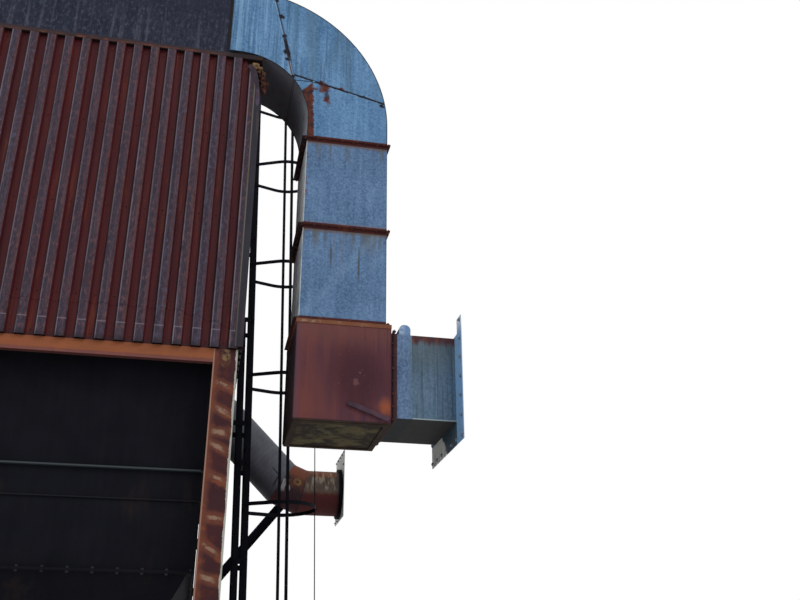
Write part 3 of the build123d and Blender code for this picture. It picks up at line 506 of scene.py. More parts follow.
def ribFinish(name, look):
    material, spot, x, y, z = startFinish(name)
    onEnds = abs(y - casingMidY) > (casingRear - casingFront) / 2 - look["corner"]
    endRibs = (x - casingLeft - look["end margin"]) / endPitch
    sideRibs = (y - casingFront - look["side margin"]) / sidePitch
    along = endRibs * onEnds + sideRibs * (1 - onEnds)
    off = (along.calc("FRACT") - 0.5) * look["spacing"]  # metres from the middle of the rib
    count = along.calc("FLOOR") + onEnds * 90
    chance = spot.node("ShaderNodeTexWhiteNoise", {"W": count}, noise_dimensions="1D")
    other = spot.node("ShaderNodeTexWhiteNoise", {"W": count + 7.3}, noise_dimensions="1D")
    streaks = spot.drawn(0.05, 42, 4, 0.65)
    runs = spot.drawn(0.025, 80, 3, 0.6)
    clouds = spot.noise(2.2, 4, 0.6)
    skirt = (lapHeight - look["lap"] + (1 - onEnds) * look["lap"] - z) > 0
    warm = (chance * 0.8 + (clouds - 0.5) * 1.4 + 0.1).clip().mix(look["purple"], look["brown"])
    crest = Coat(look, (off + (streaks - 0.5) * 0.012).ease(0.0, 0.010).mix(look["grey"], warm))
    crest("skirt", skirt, 0.6)
    crest("streaks", ((streaks - 0.5) * 2.4 + 0.25).clip())
    crest("runs", runs.ease(0.54, 0.68), 0.4)
    mottle = spot.drawn(0.5, 48, 5, 0.75)
    crest((other > 0.5).mix(look["warm mottle"], look["cool mottle"]), mottle.ease(0.52, 0.62))
    crest("dark mottle", mottle.ease(0.47, 0.38), 0.6)
    patch = spot.drawn(0.3, 15, 5, 0.7).ease(0.58, 0.66)
    crest("rust patch", patch * (0.15 + other * 0.4))
    damp = (streaks * 0.9 + clouds * 0.5 + other * 0.4 - 0.5).clip()
    valley = Coat(look, damp.mix(look["valley"], look["groove"]))
    valley("rust", spot.drawn(0.08, 20, 5, 0.7).ease(0.56, 0.68), 0.55)
    half, web = look["half crest"], look["web"]
    groove = abs(off).ease(half - 0.0012, half + 0.0012)
    coat = Coat(look, groove.mix(crest.colour, valley.colour))
    # a dark line in the web beside each crest: painted shade
    coat("edge", (off + half + web / 2 + 0.002).line(0.0, 0.009), 0.8)
    # a pale line along each crest's edge: painted highlight
    glint = (off + half - 0.004).line(0.0, 0.0055) * spot.drawn(0.2, 14, 4, 0.6).ease(0.32, 0.5)
    coat("line", glint * (0.3 + chance * 0.35 + skirt * 0.25))
    coat("lap top", (z - lapHeight + 0.13).line(-0.004, 0.006) * onEnds * (1 - groove), 0.5)
    # the same dark colour, stronger towards the bottom edge of the sheet
    coat("edge", (z - frameTop).ease(0.05, 0.0), 0.6)
    coat("scratch", spot.noise(18, 6, 0.75).ease(0.66, 0.72), 0.3)
    endFinish(spot, coat.colour, 0.62 + (streaks - 0.5) * 0.4, 0.0, streaks * 0.5 + runs * 0.3, 0.25, 0.22)
    return material


# dull dark paint and soot; on the hopper plates its near-black base is painted shade
darkPaint = {
    "base": (22, 23, 29), "second": (15, 16, 22), "worn": (42, 36, 34), "cloud size": 4.0,
    "worn share": 0.3, "roughness": 0.88, "shine": 0.08,
}


def darkFinish(name, look, dress=None):
    material, spot, x, y, z = startFinish(name)
    clouds = spot.noise(look["cloud size"], 5, 0.65)
    drips = spot.drawn(0.06, 30, 4, 0.6)
    specks = spot.noise(90, 3, 0.6)
    tone = ((clouds - 0.5) * 1.6 + (drips - 0.5) * 1.2 + 0.5).clip()
    coat = Coat(look, tone.mix(look["base"], look["second"]))
    scuffs = spot.noise(look["cloud size"] * 4, 6, 0.75).ease(0.62, 0.72)
    coat("worn", scuffs * look["worn share"])
    coat("second", specks.ease(0.55, 0.8), 0.25)
    if dress:
        dress(coat, spot, x, y, z)
    rough = (look["roughness"] + (clouds - 0.5) * 0.2).clip()
    endFinish(spot, coat.colour, rough, 0.0, clouds + specks * 0.3, 0.25, look["shine"])
    return material


plenumLook = {
    **darkPaint, "base": (42, 46, 62), "second": (28, 31, 46), "worn": (60, 60, 72), "roughness": 0.75,
    "shine": 0.12, "washed": (80, 82, 96), "mottle": (84, 86, 100), "dark mottle": (24, 24, 36),
    "dust": (100, 98, 104),
}


def plenumDress(coat, spot, x, y, z):
    coat("washed", spot.drawn(0.04, 28, 4, 0.6).ease(0.52, 0.66) * z.ease(7.0, 6.5), 0.5)
    mottle = spot.drawn(0.5, 38, 5, 0.75)
    coat("mottle", mottle.ease(0.5, 0.64) * (z.ease(7.15, 6.6) * 0.3 + 0.2))
    coat("dark mottle", mottle.ease(0.46, 0.36), 0.5)
    coat("dust", spot.noise(60, 3, 0.6).ease(0.66, 0.72), 0.4)


# hopper plates: near black as painted shade below the casing, with a brown smear
hopperLook = {
    **darkPaint, "bar": (66, 72, 76), "low bar": (38, 40, 44), "smear": (46, 34, 32),
}


def hopperDress(coat, spot, x, y, z):
    # pale lines along the two bars: painted highlights
    coat("bar", z.line(3.145, 0.009), 0.9)
    coat("low bar", z.line(2.942, 0.007), 0.5)
    coat("smear", spot.drawn(0.3, 5, 4, 0.6).ease(0.58, 0.7) * z.ease(3.2, 2.9), 0.35)


trimLook = {
    **darkPaint, "base": (48, 46, 55), "second": (33, 32, 41), "worn": (84, 80, 78), "roughness": 0.7,
    "shine": 0.2, "worn edge": (82, 70, 70), "fold": (104, 102, 92), "fold rust": (96, 78, 66),
    "inner": (36, 22, 26), "low": (44, 36, 46), "width": 0.058,
}


def trimDress(coat, spot, x, y, z):
    edge = spot.drawn(0.1, 18, 4, 0.65).ease(0.55, 0.66)
    coat("worn edge", edge, 0.4)
    inner = abs(x - (casingLeft + casingRight) / 2) - (casingRight - casingLeft) / 2 + coat.look["width"]
    fold = inner.line(0.005, 0.007) * (y < casingFront + 0.002)
    coat(edge.mix(coat.look["fold"], coat.look["fold rust"]), fold, 0.75)
    # a dark strip at the trim's inner edge: painted shade where it meets the sheet
    coat("inner", inner.ease(0.002, -0.004), 0.9)
    coat("low", z.ease(4.7, 4.1), 0.5)


boxLook = {
    "red": (102, 56, 54), "purple": (72, 42, 56), "middle": (56, 25, 36), "foot": (106, 58, 52),
    "top": (104, 64, 60), "left edge": (84, 62, 80), "scab": (150, 80, 48), "fine": (112, 74, 72),
    "scuff": (134, 92, 90), "seep": (50, 26, 40), "low edge": (34, 24, 26), "side": (26, 22, 25),
    "neck": (66, 48, 54),
}


def boxFinish(name, look):  # rusted plate, darker in the middle, with one bright scab low on the right
    material, spot, x, y, z = startFinish(name)
    across, up = x - boxLeft, z - boxLow
    clouds = spot.noise(3.0, 3, 0.5)
    fine = spot.noise(34, 5, 0.7)
    drips = spot.drawn(0.08, 24, 4, 0.6)
    tone = ((clouds - 0.5) * 2.6 + (drips - 0.5) * 1.6 + 0.5).clip()
    coat = Coat(look, tone.mix(look["red"], look["purple"]))
    middle = (((across - 0.44) ** 2 + (up - 0.32) ** 2) ** 0.5 + (clouds - 0.5) * 0.5).ease(0.36, 0.08)
    coat("middle", middle, 0.8)
    coat("foot", (across + (clouds - 0.5) * 0.3).ease(0.4, 0.05) * up.ease(0.5, 0.1), 0.6)
    coat("top", up.ease(0.5, 0.7), 0.65)
    coat("left edge", across.ease(0.05, 0.0), 0.5)
    glow = ((across - 0.645) ** 2 * 1.5 + (up - 0.115) ** 2) ** 0.5 + (fine - 0.5) * 0.03
    coat("scab", glow.ease(0.1, 0.01), 0.8)
    coat("fine", fine.ease(0.58, 0.72), 0.3)
    for centre, radius in (((0.43, 0.29), 0.03), ((0.31, 0.27), 0.016), ((0.46, 0.36), 0.014)):  # pale scuffs
        coat("scuff", blot(spot, across, up, centre, radius, 1.4), 0.35)
    coat("seep", spot.drawn(0.05, 60, 4, 0.65).ease(0.54, 0.66) * across.ease(0.3, 0.5), 0.4)
    coat("low edge", up.ease(0.012, 0.004), 0.8)
    coat("side", x < boxLeft + 0.001, 0.9)
    coat("neck", x > boxRight + 0.0005, 0.8)
    endFinish(spot, coat.colour, 0.62 + (fine - 0.5) * 0.4, 0.0, fine + clouds, 0.25, 0.16)
    return material


floorLook = {
    "olive": (84, 76, 50), "dark": (40, 33, 28), "pale": (104, 102, 78), "border": (46, 34, 28),
}


def nearEnds(value, axis):  # 0 in the middle of the box's floor, 1 near both its ends
    start, end = low("box_floor", axis), high("box_floor", axis)
    return abs(value - (start + end) / 2).ease((end - start) / 2 - 0.07, (end - start) / 2 - 0.04)


def floorFinish(name, look):  # olive water stains under the box inside a dark border
    material, spot, x, y, z = startFinish(name)
    clouds = spot.noise(6, 5, 0.65)
    coat = Coat(look, clouds.ease(0.42, 0.58).mix(look["olive"], look["dark"]))
    coat("pale", spot.noise(14, 5, 0.7).ease(0.56, 0.66), 0.5)
    coat("border", nearEnds(x, 0).most(nearEnds(y, 1)), 0.85)
    endFinish(spot, coat.colour, 0.8, 0.0, clouds, 0.2, 0.15)
    return material


diagonal = 0.7071  # the leg lies at 45 degrees
legLook = {
    **darkPaint, "base": (94, 96, 104), "second": (72, 74, 83), "worn": (106, 100, 98), "roughness": 0.6,
    "shine": 0.25, "seam": (44, 46, 54), "seam glint": (104, 104, 110), "under": (40, 40, 46),
    "scored": (24, 24, 30), "ring gap": 0.06,
}


def legDress(coat, spot, x, y, z):
    along, gap = (x - z) * diagonal, coat.look["ring gap"]
    seam = ((along / gap).calc("FRACT") - 0.5) * gap
    coat("seam", seam.line(0.0, 0.0035), 0.6)
    coat("seam glint", seam.line(0.006, 0.003), 0.5)
    # faces turned down: painted shade
    coat("under", facing(spot, 2).ease(-0.2, -0.8), 0.6)
    near = y < inletY - 0.1
    scored = [(1.093, 4.481), (1.178, 4.385), (1.115, 4.256)]  # two scored lines that meet in a point
    for (startX, startZ), (endX, endZ) in zip(scored, scored[1:]):
        slope = (endX - startX) / (endZ - startZ)
        score = (x - startX - (z - startZ) * slope).line(0.0, 0.015)
        score = score * z.line((startZ + endZ) / 2, abs(startZ - endZ) * 0.7)
        coat("scored", score * near, 0.85)


goreLook = {
    **rustedPaint, "red": (70, 46, 44), "dark": (46, 32, 34), "grain": 1.6, "upper": (122, 66, 44),
    "lower": (50, 34, 44), "belly": (74, 30, 30), "scrawl": (160, 156, 160), "ring": (140, 104, 62),
}


def goreDress(coat, spot, x, y, z):
    rise = z - inletZ + (x - 1.37) * 0.4
    coat("upper", rise.ease(0.1, 0.19), 0.7)
    coat("lower", rise.ease(0.04, -0.06), 0.8)
    coat("belly", rise.ease(-0.1, -0.22), 0.7)
    for shift, bulge in ((0.0, 0.02), (0.03, -0.02), (-0.03, 0.012)):  # grey scrawls
        wave = ((z - 4.28) * 30).calc("SINE") * bulge
        scrawl = (x - 1.262 - shift - wave).line(0.0, 0.017) * z.line(4.28, 0.1)
        coat("scrawl", scrawl * (y < inletY), 0.9)
    ring = ((x - 1.411) ** 2 + (z - 4.31) ** 2) ** 0.5
    coat("ring", ring.line(0.036, 0.02) * (y < inletY), 0.75)


levelLook = {
    **rustedPaint, "red": (84, 60, 50), "dark": (60, 42, 38), "grain": 1.6, "middle": (92, 82, 74),
    "upper": (128, 74, 48), "pale band": (152, 142, 124), "dark band": (58, 44, 42), "soot": (60, 57, 60),
    "lower": (74, 25, 27),
}


def inletDress(coat, spot, x, y, z):
    bands = spot.scaled(1, 0.25, 0.25).noise(26, 3, 0.6)
    drips = spot.drawn(0.12, 24, 5, 0.7)
    upper = (z - inletZ + (drips - 0.5) * 0.2).ease(0.12, 0.2)
    coat("middle", (z - inletZ).ease(-0.08, -0.02), 0.75)
    coat("upper", upper, 0.85)
    above = (z - inletZ).ease(-0.04, 0.02)  # the bands show on the upper half only
    coat("pale band", bands.ease(0.53, 0.6) * above, 0.6)
    coat("dark band", bands.ease(0.47, 0.4) * above, 0.5)
    lower = (z - inletZ + (drips - 0.5) * 0.08).ease(-0.03, -0.09)
    wall = high("inlet_run", 0)
    coat("soot", (x + (drips - 0.5) * 0.06).ease(wall - 0.12, wall - 0.05), 0.6)
    coat("lower", lower, 0.85)


clodLook = {
    **rustedPaint, "red": (104, 76, 54), "dark": (60, 38, 32), "orange": (128, 84, 52), "grain": 8.0,
    "dry": (146, 124, 84), "damp": (70, 36, 33),
}


def clodDress(coat, spot, x, y, z):  # yellow above and red below: partly the lumps' own colour, partly painted highlight on top and painted shade below
    crumbs = spot.noise(60, 3, 0.6) * 0.05
    coat("dry", (z + crumbs).ease(6.34, 6.41), 0.6)
    coat("damp", (z + crumbs).ease(6.36, 6.28), 0.75)


finishes = {
    "elbow": galvanisedFinish("galvanised bend", elbowLook, elbowDress),
    "duct": galvanisedFinish("galvanised duct", ductLook, ductDress),
    "spool": galvanisedFinish("galvanised spool", spoolLook, spoolDress),
    "run": galvanisedFinish("galvanised run", runLook, runDress),
    "plate": galvanisedFinish("galvanised wall plate", plateLook, plateDress),
    "palePlate": galvanisedFinish("pale inlet plate", {
        **galvanised, "bright": (212, 217, 210), "dull": (180, 186, 182)}),
    "column": rustedFinish("rusted columns", columnLook, columnDress),
    "beam": rustedFinish("orange beams", beamLook, beamDress),
    "ring": rustedFinish("rusted rings", ringLook, ringDress),
    "cap": rustedFinish("rusted cap angle", capLook, capDress),
    # plenum angles near black: painted shade of the gap beside the duct
    "corner": rustedFinish("plenum angles with painted shade", {
        **rustedPaint, "red": (16, 13, 17), "dark": (10, 9, 13), "orange": (34, 24, 25),
        "pale": (50, 42, 44)}),
    "ribs": ribFinish("weathered box rib sheet", ribSheet),
    "trim": darkFinish("corner trim", trimLook, trimDress),
    "plenum": darkFinish("plenum paint", plenumLook, plenumDress),
    "hopper": darkFinish("hopper plate with painted shade", hopperLook, hopperDress),
    # casing walls dark brown: partly rust, partly painted shade where they show in the torn corner
    "wall": darkFinish("casing plate with painted shade", {
        **darkPaint, "base": (42, 28, 26), "second": (26, 20, 22), "worn": (72, 48, 40)}),
    "box": boxFinish("rusted turning box", boxLook),
    "bar": rustedFinish("loose bar", {
        **rustedPaint, "red": (84, 60, 74), "dark": (54, 38, 50), "orange": (96, 68, 70)}),
    "floor": floorFinish("stained box floor", floorLook),
    "leg": darkFinish("dull inlet leg", legLook, legDress),
    "gore": rustedFinish("rusted inlet bend", goreLook, goreDress),
    "level": rustedFinish("rusted inlet run", levelLook, inletDress),
    "black": darkFinish("black ladder paint", {
        **darkPaint, "base": (15, 17, 24), "second": (10, 12, 19), "worn": (40, 34, 32), "roughness": 0.8}),
    "strip": darkFinish("joint strip", {
        **darkPaint, "base": (22, 18, 20), "second": (12, 11, 13), "worn": (50, 34, 30)}),
    "redBolt": rustedFinish("rusted bolts", {
        **rustedPaint, "red": (88, 48, 40), "dark": (52, 34, 34), "grain": 6.0}),
    "sootBolt": darkFinish("sooted bolts", {**darkPaint, "base": (58, 60, 62), "second": (34, 36, 40)}),
    "greyBolt": galvanisedFinish("galvanised bolts", {
        **galvanised, "bright": (128, 140, 156), "dull": (74, 84, 100), "spots": 0.8}),
    "weld": galvanisedFinish("dulled seam", {
        **galvanised, "bright": (38, 38, 46), "dull": (20, 20, 26), "spots": 0.0}),
    "clod": rustedFinish("caked dust", clodLook, clodDress),
    "capBead": rustedFinish("inlet cap bead", {
        **rustedPaint, "red": (120, 88, 56), "dark": (84, 58, 40), "grain": 8.0}),
    "bentTrim": rustedFinish("torn trim", {
        **rustedPaint, "red": (74, 64, 82), "dark": (44, 36, 48), "orange": (84, 54, 48), "patches": 0.3,
        "grain": 2.0}),
}
wears = {
    "column": ["columns", "base_plates"], "beam": ["side_beams", "cross_beams", "knee_braces"],
    "ring": ["duct_flanges"], "cap": ["cap_angles"], "corner": ["plenum_angles"],
    "ribs": ["front_cladding", "rear_cladding", "side_cladding", "skirt_sheets"], "trim": ["corner_trims"],
    "plenum": ["plenum_end_walls", "plenum_side_walls", "plenum_roof", "roof_lids"],
    "hopper": ["front_hopper", "rear_hopper", "hopper_outlets", "front_hopper_body", "rear_hopper_body"],
    "wall": ["casing_end_walls", "casing_side_walls", "casing_deck"],
    "elbow": ["outlet_elbow"], "duct": ["upper_duct", "lower_duct"], "spool": ["damper_spool"],
    "run": ["wall_duct"], "plate": ["wall_plate"], "palePlate": ["inlet_wall_plate"],
    "box": ["junction_box"], "bar": ["box_bar"], "floor": ["box_floor"],
    "leg": ["inlet_leg"], "gore": ["inlet_elbow"], "level": ["inlet_run"],
    "black": ["inlet_collar", "inlet_bracket", "ladder_rails", "ladder_rungs", "cage_hoops", "cage_straps",
              "ladder_posts", "ladder_brackets"],
    "strip": ["joint_gaskets"],
}


def wear(piece, material):
    piece.data.materials.clear()
    piece.data.materials.append(material)


for finish, names in wears.items():
    for name in names:
        wear(nodes[name], finishes[finish])
print("finishes on the frame's pieces")


# trees for what repeats; each ends in real geometry with its finish set
def startTree(name, sizes):
    tree = bpy.data.node_groups.new(name, "GeometryNodeTree")
    tree.interface.new_socket("Geometry", in_out="INPUT", socket_type="NodeSocketGeometry")
    for label, value in sizes.items():
        kind = "NodeSocketInt" if isinstance(value, int) else "NodeSocketFloat"
        tree.interface.new_socket(label, in_out="INPUT", socket_type=kind).default_value = value
    tree.interface.new_socket("Finish", in_out="INPUT", socket_type="NodeSocketMaterial")
    tree.interface.new_socket("Geometry", in_out="OUTPUT", socket_type="NodeSocketGeometry")
    start = Wire(tree).node("NodeGroupInput")
    return start, {label: start.also(i + 1) for i, label in enumerate([*sizes, "Finish"])}


def endTree(shape, finish):
    shape = shape.node("GeometryNodeRealizeInstances", {"Geometry": shape})
    shape = shape.node("GeometryNodeSetMaterial", {"Geometry": shape, "Material": finish})
    shape.node("NodeGroupOutput", {0: shape})
    return shape.tree


def raised(shape, z):
    shift = shape.node("ShaderNodeCombineXYZ", {"Z": z})
    return shape.node("GeometryNodeTransform", {"Geometry": shape, "Translation": shift})


def joined(*shapes):
    join = shapes[0].node("GeometryNodeJoinGeometry")
    for shape in shapes:
        shape.tree.links.new(shape.socket, join.socket.node.inputs[0])
    return join


def boltTree():  # hexagon heads on washers, turned along each point's aim and spun at random
    start, sizes = startTree("hexHeads", {"Head Width": 0.013, "Head Height": 0.006, "Washer Width": 0.017,
                                          "Washer Height": 0.0015, "Seed": 4})
    tall, thick = sizes["Head Height"], sizes["Washer Height"]
    radius = sizes["Head Width"] * 0.5774  # to a corner of the hexagon
    barrel = {"Vertices": 6, "Radius": radius, "Depth": tall * 0.8}
    crown = {"Vertices": 6, "Radius Bottom": radius, "Radius Top": radius * 0.84, "Depth": tall * 0.2}
    washer = {"Vertices": 12, "Radius": sizes["Washer Width"] * 0.5, "Depth": thick}
    head = joined(raised(start.node("GeometryNodeMeshCylinder", barrel), thick + tall * 0.4),
                  raised(start.node("GeometryNodeMeshCone", crown), thick + tall * 0.8),
                  raised(start.node("GeometryNodeMeshCylinder", washer), thick * 0.5))
    aim = start.node("GeometryNodeInputNamedAttribute", {"Name": "aim"}, data_type="FLOAT_VECTOR")
    turn = start.node("FunctionNodeAlignRotationToVector", {"Vector": aim}, axis="Z")
    turns = {2: 0.0, 3: 6.283, "Seed": sizes["Seed"]}
    angle = start.node("FunctionNodeRandomValue", turns, 1, data_type="FLOAT")
    spin = start.node("FunctionNodeAxisAngleToRotation", {"Axis": (0, 0, 1), "Angle": angle})
    turn = start.node("FunctionNodeRotateRotation", {0: turn, 1: spin}, rotation_space="LOCAL")
    placing = {"Points": start, "Instance": head, "Rotation": turn}
    return endTree(start.node("GeometryNodeInstanceOnPoints", placing), sizes["Finish"])


def beadTree():  # a round bead or rod along every edge of the piece
    start, sizes = startTree("beads", {"Radius": 0.003, "Sides": 6})
    path = start.node("GeometryNodeMeshToCurve", {"Mesh": start})
    ring = {"Resolution": sizes["Sides"], "Radius": sizes["Radius"]}
    ring = start.node("GeometryNodeCurvePrimitiveCircle", ring)
    bead = start.node("GeometryNodeCurveToMesh", {"Curve": path, "Profile Curve": ring, "Fill Caps": True})
    return endTree(bead, sizes["Finish"])


def clodTree():  # caked lumps, each its own size and roughness
    start, sizes = startTree("clods", {"Size": 0.03, "Bumps": 0.012, "Seed": 11})
    ball = start.node("GeometryNodeMeshIcoSphere", {"Radius": sizes["Size"], "Subdivisions": 3})
    shares = {2: 0.55, 3: 1.2, "Seed": sizes["Seed"]}
    grow = start.node("FunctionNodeRandomValue", shares, 1, data_type="FLOAT")
    turns = {0: (0, 0, 0), 1: (6.3, 6.3, 6.3), "Seed": sizes["Seed"]}
    spin = start.node("FunctionNodeRandomValue", turns, data_type="FLOAT_VECTOR")
    placing = {"Points": start, "Instance": ball, "Rotation": spin, "Scale": grow}
    placed = start.node("GeometryNodeInstanceOnPoints", placing)
    real = start.node("GeometryNodeRealizeInstances", {"Geometry": placed})
    where = start.node("GeometryNodeInputPosition")
    outward = start.node("GeometryNodeInputNormal")
    rough = start.node("ShaderNodeTexNoise", {"Vector": where, "Scale": 45.0, "Detail": 3.0})
    push = {0: outward, "Scale": (rough - 0.5) * 2 * sizes["Bumps"]}
    shift = start.node("ShaderNodeVectorMath", push, operation="SCALE")
    real = start.node("GeometryNodeSetPosition", {"Geometry": real, "Offset": shift})
    return endTree(real, sizes["Finish"])


trees = {"bolts": boltTree(), "beads": beadTree(), "clods": clodTree()}


def growPiece(name, mesh, tree, sizes, finish):
    piece = bpy.data.objects.new(name, mesh)
    bpy.context.scene.collection.objects.link(piece)
    grower = piece.modifiers.new("grower", "NODES")
    grower.node_group = trees[tree]
    values = {**sizes, "Finish": finishes[finish]}
    for socket in trees[tree].interface.items_tree:
        if socket.in_out == "INPUT" and socket.name in values:
            grower[socket.identifier] = values[socket.name]
    settled = bpy.context.evaluated_depsgraph_get()
    grown = bpy.data.meshes.new_from_object(piece.evaluated_get(settled), depsgraph=settled)
    piece.modifiers.remove(grower)
    piece.data = grown
    wear(piece, finishes[finish])
    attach(piece, "root")
    print(name, len(grown.polygons), "faces")


def pointsMesh(name, places):  # places are pairs of a spot and the way its bolt points
    mesh = bpy.data.meshes.new(name)
    mesh.from_pydata([tuple(spot) for spot, aim in places], [], [])
    aims = mesh.attributes.new("aim", "FLOAT_VECTOR", "POINT")
    aims.data.foreach_set("vector", [value for spot, aim in places for value in aim])
    return mesh


def growBolts(name, places, look, finish):
    sizes = {"Head Width": look["head"], "Head Height": look["height"], "Washer Width": look["washer"],
             "Washer Height": look["thick"], "Seed": look["seed"]}
    growPiece(name, pointsMesh(name, places), "bolts", sizes, finish)


def growBeads(name, lines, look, finish):  # lines are lists of spots; a closed one repeats its first
    mesh = bpy.data.meshes.new(name)
    spots, edges = [], []
    for line in lines:
        closed = (Vector(line[0]) - Vector(line[-1])).length < 1e-6
        points = line[:-1] if closed else line
        first = len(spots)
        spots += [tuple(point) for point in points]
        edges += [(first + i, first + i + 1) for i in range(len(points) - 1)]
        if closed:
            edges.append((len(spots) - 1, first))
    mesh.from_pydata(spots, edges, [])
    growPiece(name, mesh, "beads", {"Radius": look["bead"], "Sides": look["sides"]}, finish)


def spread(start, end, gap):  # evenly spaced values between two, about one gap apart
    count = max(1, round(abs(end - start) / gap))
    return [start + (end - start) * i / count for i in range(count + 1)]


def around(left, right, front, rear, gap):  # spots round a rectangle, each corner once
    spots = [(x, front) for x in spread(left, right, gap)]
    spots += [(right, y) for y in spread(front, rear, gap)[1:]]
    spots += [(x, rear) for x in spread(right, left, gap)[1:]]
    return spots + [(left, y) for y in spread(rear, front, gap)[1:-1]]


# bolts of the duct's angle rings
ringBolts = {
    "gap": 0.1, "out": 0.0142, "plate": 0.0045, "head": 0.013, "height": 0.007, "washer": 0.0165,
    "thick": 0.0015, "seed": 3,
}
out, plate, gap = ringBolts["out"], ringBolts["plate"], ringBolts["gap"]
places = []
for joint in jointHeights:
    for x, y in around(ductLeft - out, ductRight + out, ductFront - out, ductRear + out, gap):
        places.append(((x, y, joint + plate), (0, 0, 1)))
        if joint > jointHeights[2]:
            places.append(((x, y, joint - plate), (0, 0, -1)))
for y, z in around(ductFront - out, ductRear + out, runLow - out, runHigh + out, gap):
    places.append(((sideJointX - plate, y, z), (-1, 0, 0)))
    places.append(((sideJointX + plate, y, z), (1, 0, 0)))
growBolts("ring_bolts", places, ringBolts, "redBolt")

# anchors of both wall plates
plateBolts = {
    "gap": 0.15, "in": 0.03, "clear": 0.02, "head": 0.019, "height": 0.01, "washer": 0.028, "thick": 0.0025,
    "seed": 5,
}


def plateSpots(name):
    inset = plateBolts["in"]
    return around(low(name, 1) + inset, high(name, 1) - inset, low(name, 2) + inset, high(name, 2) - inset,
                  plateBolts["gap"])


clear = plateBolts["clear"]
freeY = low("wall_plate", 1) + plateBolts["in"] + clear
clearRadius = high("inlet_collar", 1) - inletY + clear
spots = [(y, z) for y, z in plateSpots("wall_plate") if z < runHigh - clear or y < freeY]
for y, z in plateSpots("inlet_wall_plate"):
    if math.hypot(y - inletY, z - inletZ) > clearRadius:
        spots.append((y, z))
places = [((wallFace, y, z), (-1, 0, 0)) for y, z in spots]
growBolts("wall_anchors", places, plateBolts, "greyBolt")

# anchor nuts and studs on the column feet
footBolts = {
    "reach": 0.05, "bead": 0.0095, "sides": 10, "top": 0.058, "tip": 0.002, "head": 0.03, "height": 0.016,
    "washer": 0.037, "thick": 0.003, "seed": 8,
}
columnX = [low("columns", 0) + columnHalfX, high("columns", 0) - columnHalfX]
columnY = [low("columns", 1) + columnHalfY, casingMidY, high("columns", 1) - columnHalfY]
reach, plateTop, studTop = footBolts["reach"], high("base_plates", 2), footBolts["top"]
feet = [(x + i * reach, y + j * reach) for x in columnX for y in columnY for i in (-1, 1) for j in (-1, 1)]
places = [((x, y, plateTop), (0, 0, 1)) for x, y in feet]
growBolts("anchor_nuts", places, footBolts, "redBolt")
studs = [[(x, y, plateTop), (x, y, studTop - footBolts["tip"]), (x, y, studTop)] for x, y in feet]
growBeads("anchor_studs", studs, footBolts, "redBolt")

# bolts round both hopper mouths
hopperBolts = {
    "gap": 0.15, "in": 0.018, "flange": 0.008, "head": 0.019, "height": 0.01, "washer": 0.026, "thick": 0.002,
    "seed": 9,
}
inset, flange = hopperBolts["in"], hopperBolts["flange"]
places = []
for name in ("front_hopper", "rear_hopper"):
    (left, front, foot), (right, rear, top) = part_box(name)
    for x, y in around(left + inset, right - inset, front + inset, rear - inset, hopperBolts["gap"]):
        places.append(((x, y, top + flange), (0, 0, 1)))
        places.append(((x, y, top - flange), (0, 0, -1)))
growBolts("hopper_bolts", places, hopperBolts, "sootBolt")
print("bolts placed")

# screws along the valleys of the sheet
screws = {
    "rows": [lapHeight + 0.07, lapHeight + 0.78, lapHeight + 1.48, claddingTop - 0.05],
    "skirt": frameTop + 0.045, "valley": 0.039, "skirt valley": 0.041, "inlet gap": 0.03,
    "inlet rows": (4.6, 5.7), "head": 0.008, "height": 0.005, "washer": 0.014, "thick": 0.0015, "seed": 12,
}
places = []
inletFoot, inletTop = screws["inlet rows"]  # no screws where the round inlet meets the wall
for z in screws["rows"] + [screws["skirt"]]:
    inward = screws["skirt valley" if z == screws["skirt"] else "valley"]
    for i in range(1, endCount):
        x = casingLeft + ribSheet["end margin"] + i * endPitch
        places.append(((x, casingFront + inward, z), (0, -1, 0)))
        places.append(((x, casingRear - inward, z), (0, 1, 0)))
    for i in range(1, sideCount):
        y = casingFront + ribSheet["side margin"] + i * sidePitch
        atInlet = abs(y - inletY) < inletRadius + screws["inlet gap"] and inletFoot < z < inletTop
        places.append(((casingLeft + inward, y, z), (-1, 0, 0)))
        if not atInlet:
            places.append(((casingRight - inward, y, z), (1, 0, 0)))
growBolts("sheet_screws", places, screws, "redBolt")

# bolts of the ladder's clips, arms, hoops and straps, and the welds of its rungs
climb = {
    "lean": math.radians(1.9), "off": 0.342, "aside": 0.01, "top": 8.225, "face": 0.223, "hoop face": 0.221,
    "cage": 0.35, "radius": 0.333, "cage half": 0.3322, "hoops": (0.2736, 0.4209, 0.577, 0.7263, 0.8732),
    "half strap": 0.018, "hoop in": -0.006, "strap out": {-1: 0.024, 1: 0.004},
    "clips": (0.18, 0.45, 0.745, 0.978), "clip holes": (-0.012, -0.086),
    "arms": (lapHeight + 0.035, (frameTop + claddingTop) / 2 + 0.162, claddingTop - 0.114, roofTop - 0.21),
    "head": 0.017, "height": 0.008, "washer": 0.022, "thick": 0.002, "seed": 14,
}
rungs = {"first": 0.45, "pitch": 0.305, "top gap": 0.5, "end": 0.2035, "radius": 0.0125, "bead": 0.003,
         "sides": 6, "steps": 12}
ladderX, ladderY = casingRight + climb["off"], casingMidY + climb["aside"]
leanCos, leanSin = math.cos(climb["lean"]), math.sin(climb["lean"])
ladderOut = (leanCos, 0, leanSin)


def onLadder(u, v, h):  # u out from the rails, v across, h up the rails
    return (ladderX + u * leanCos - h * leanSin, ladderY + v, u * leanSin + h * leanCos)


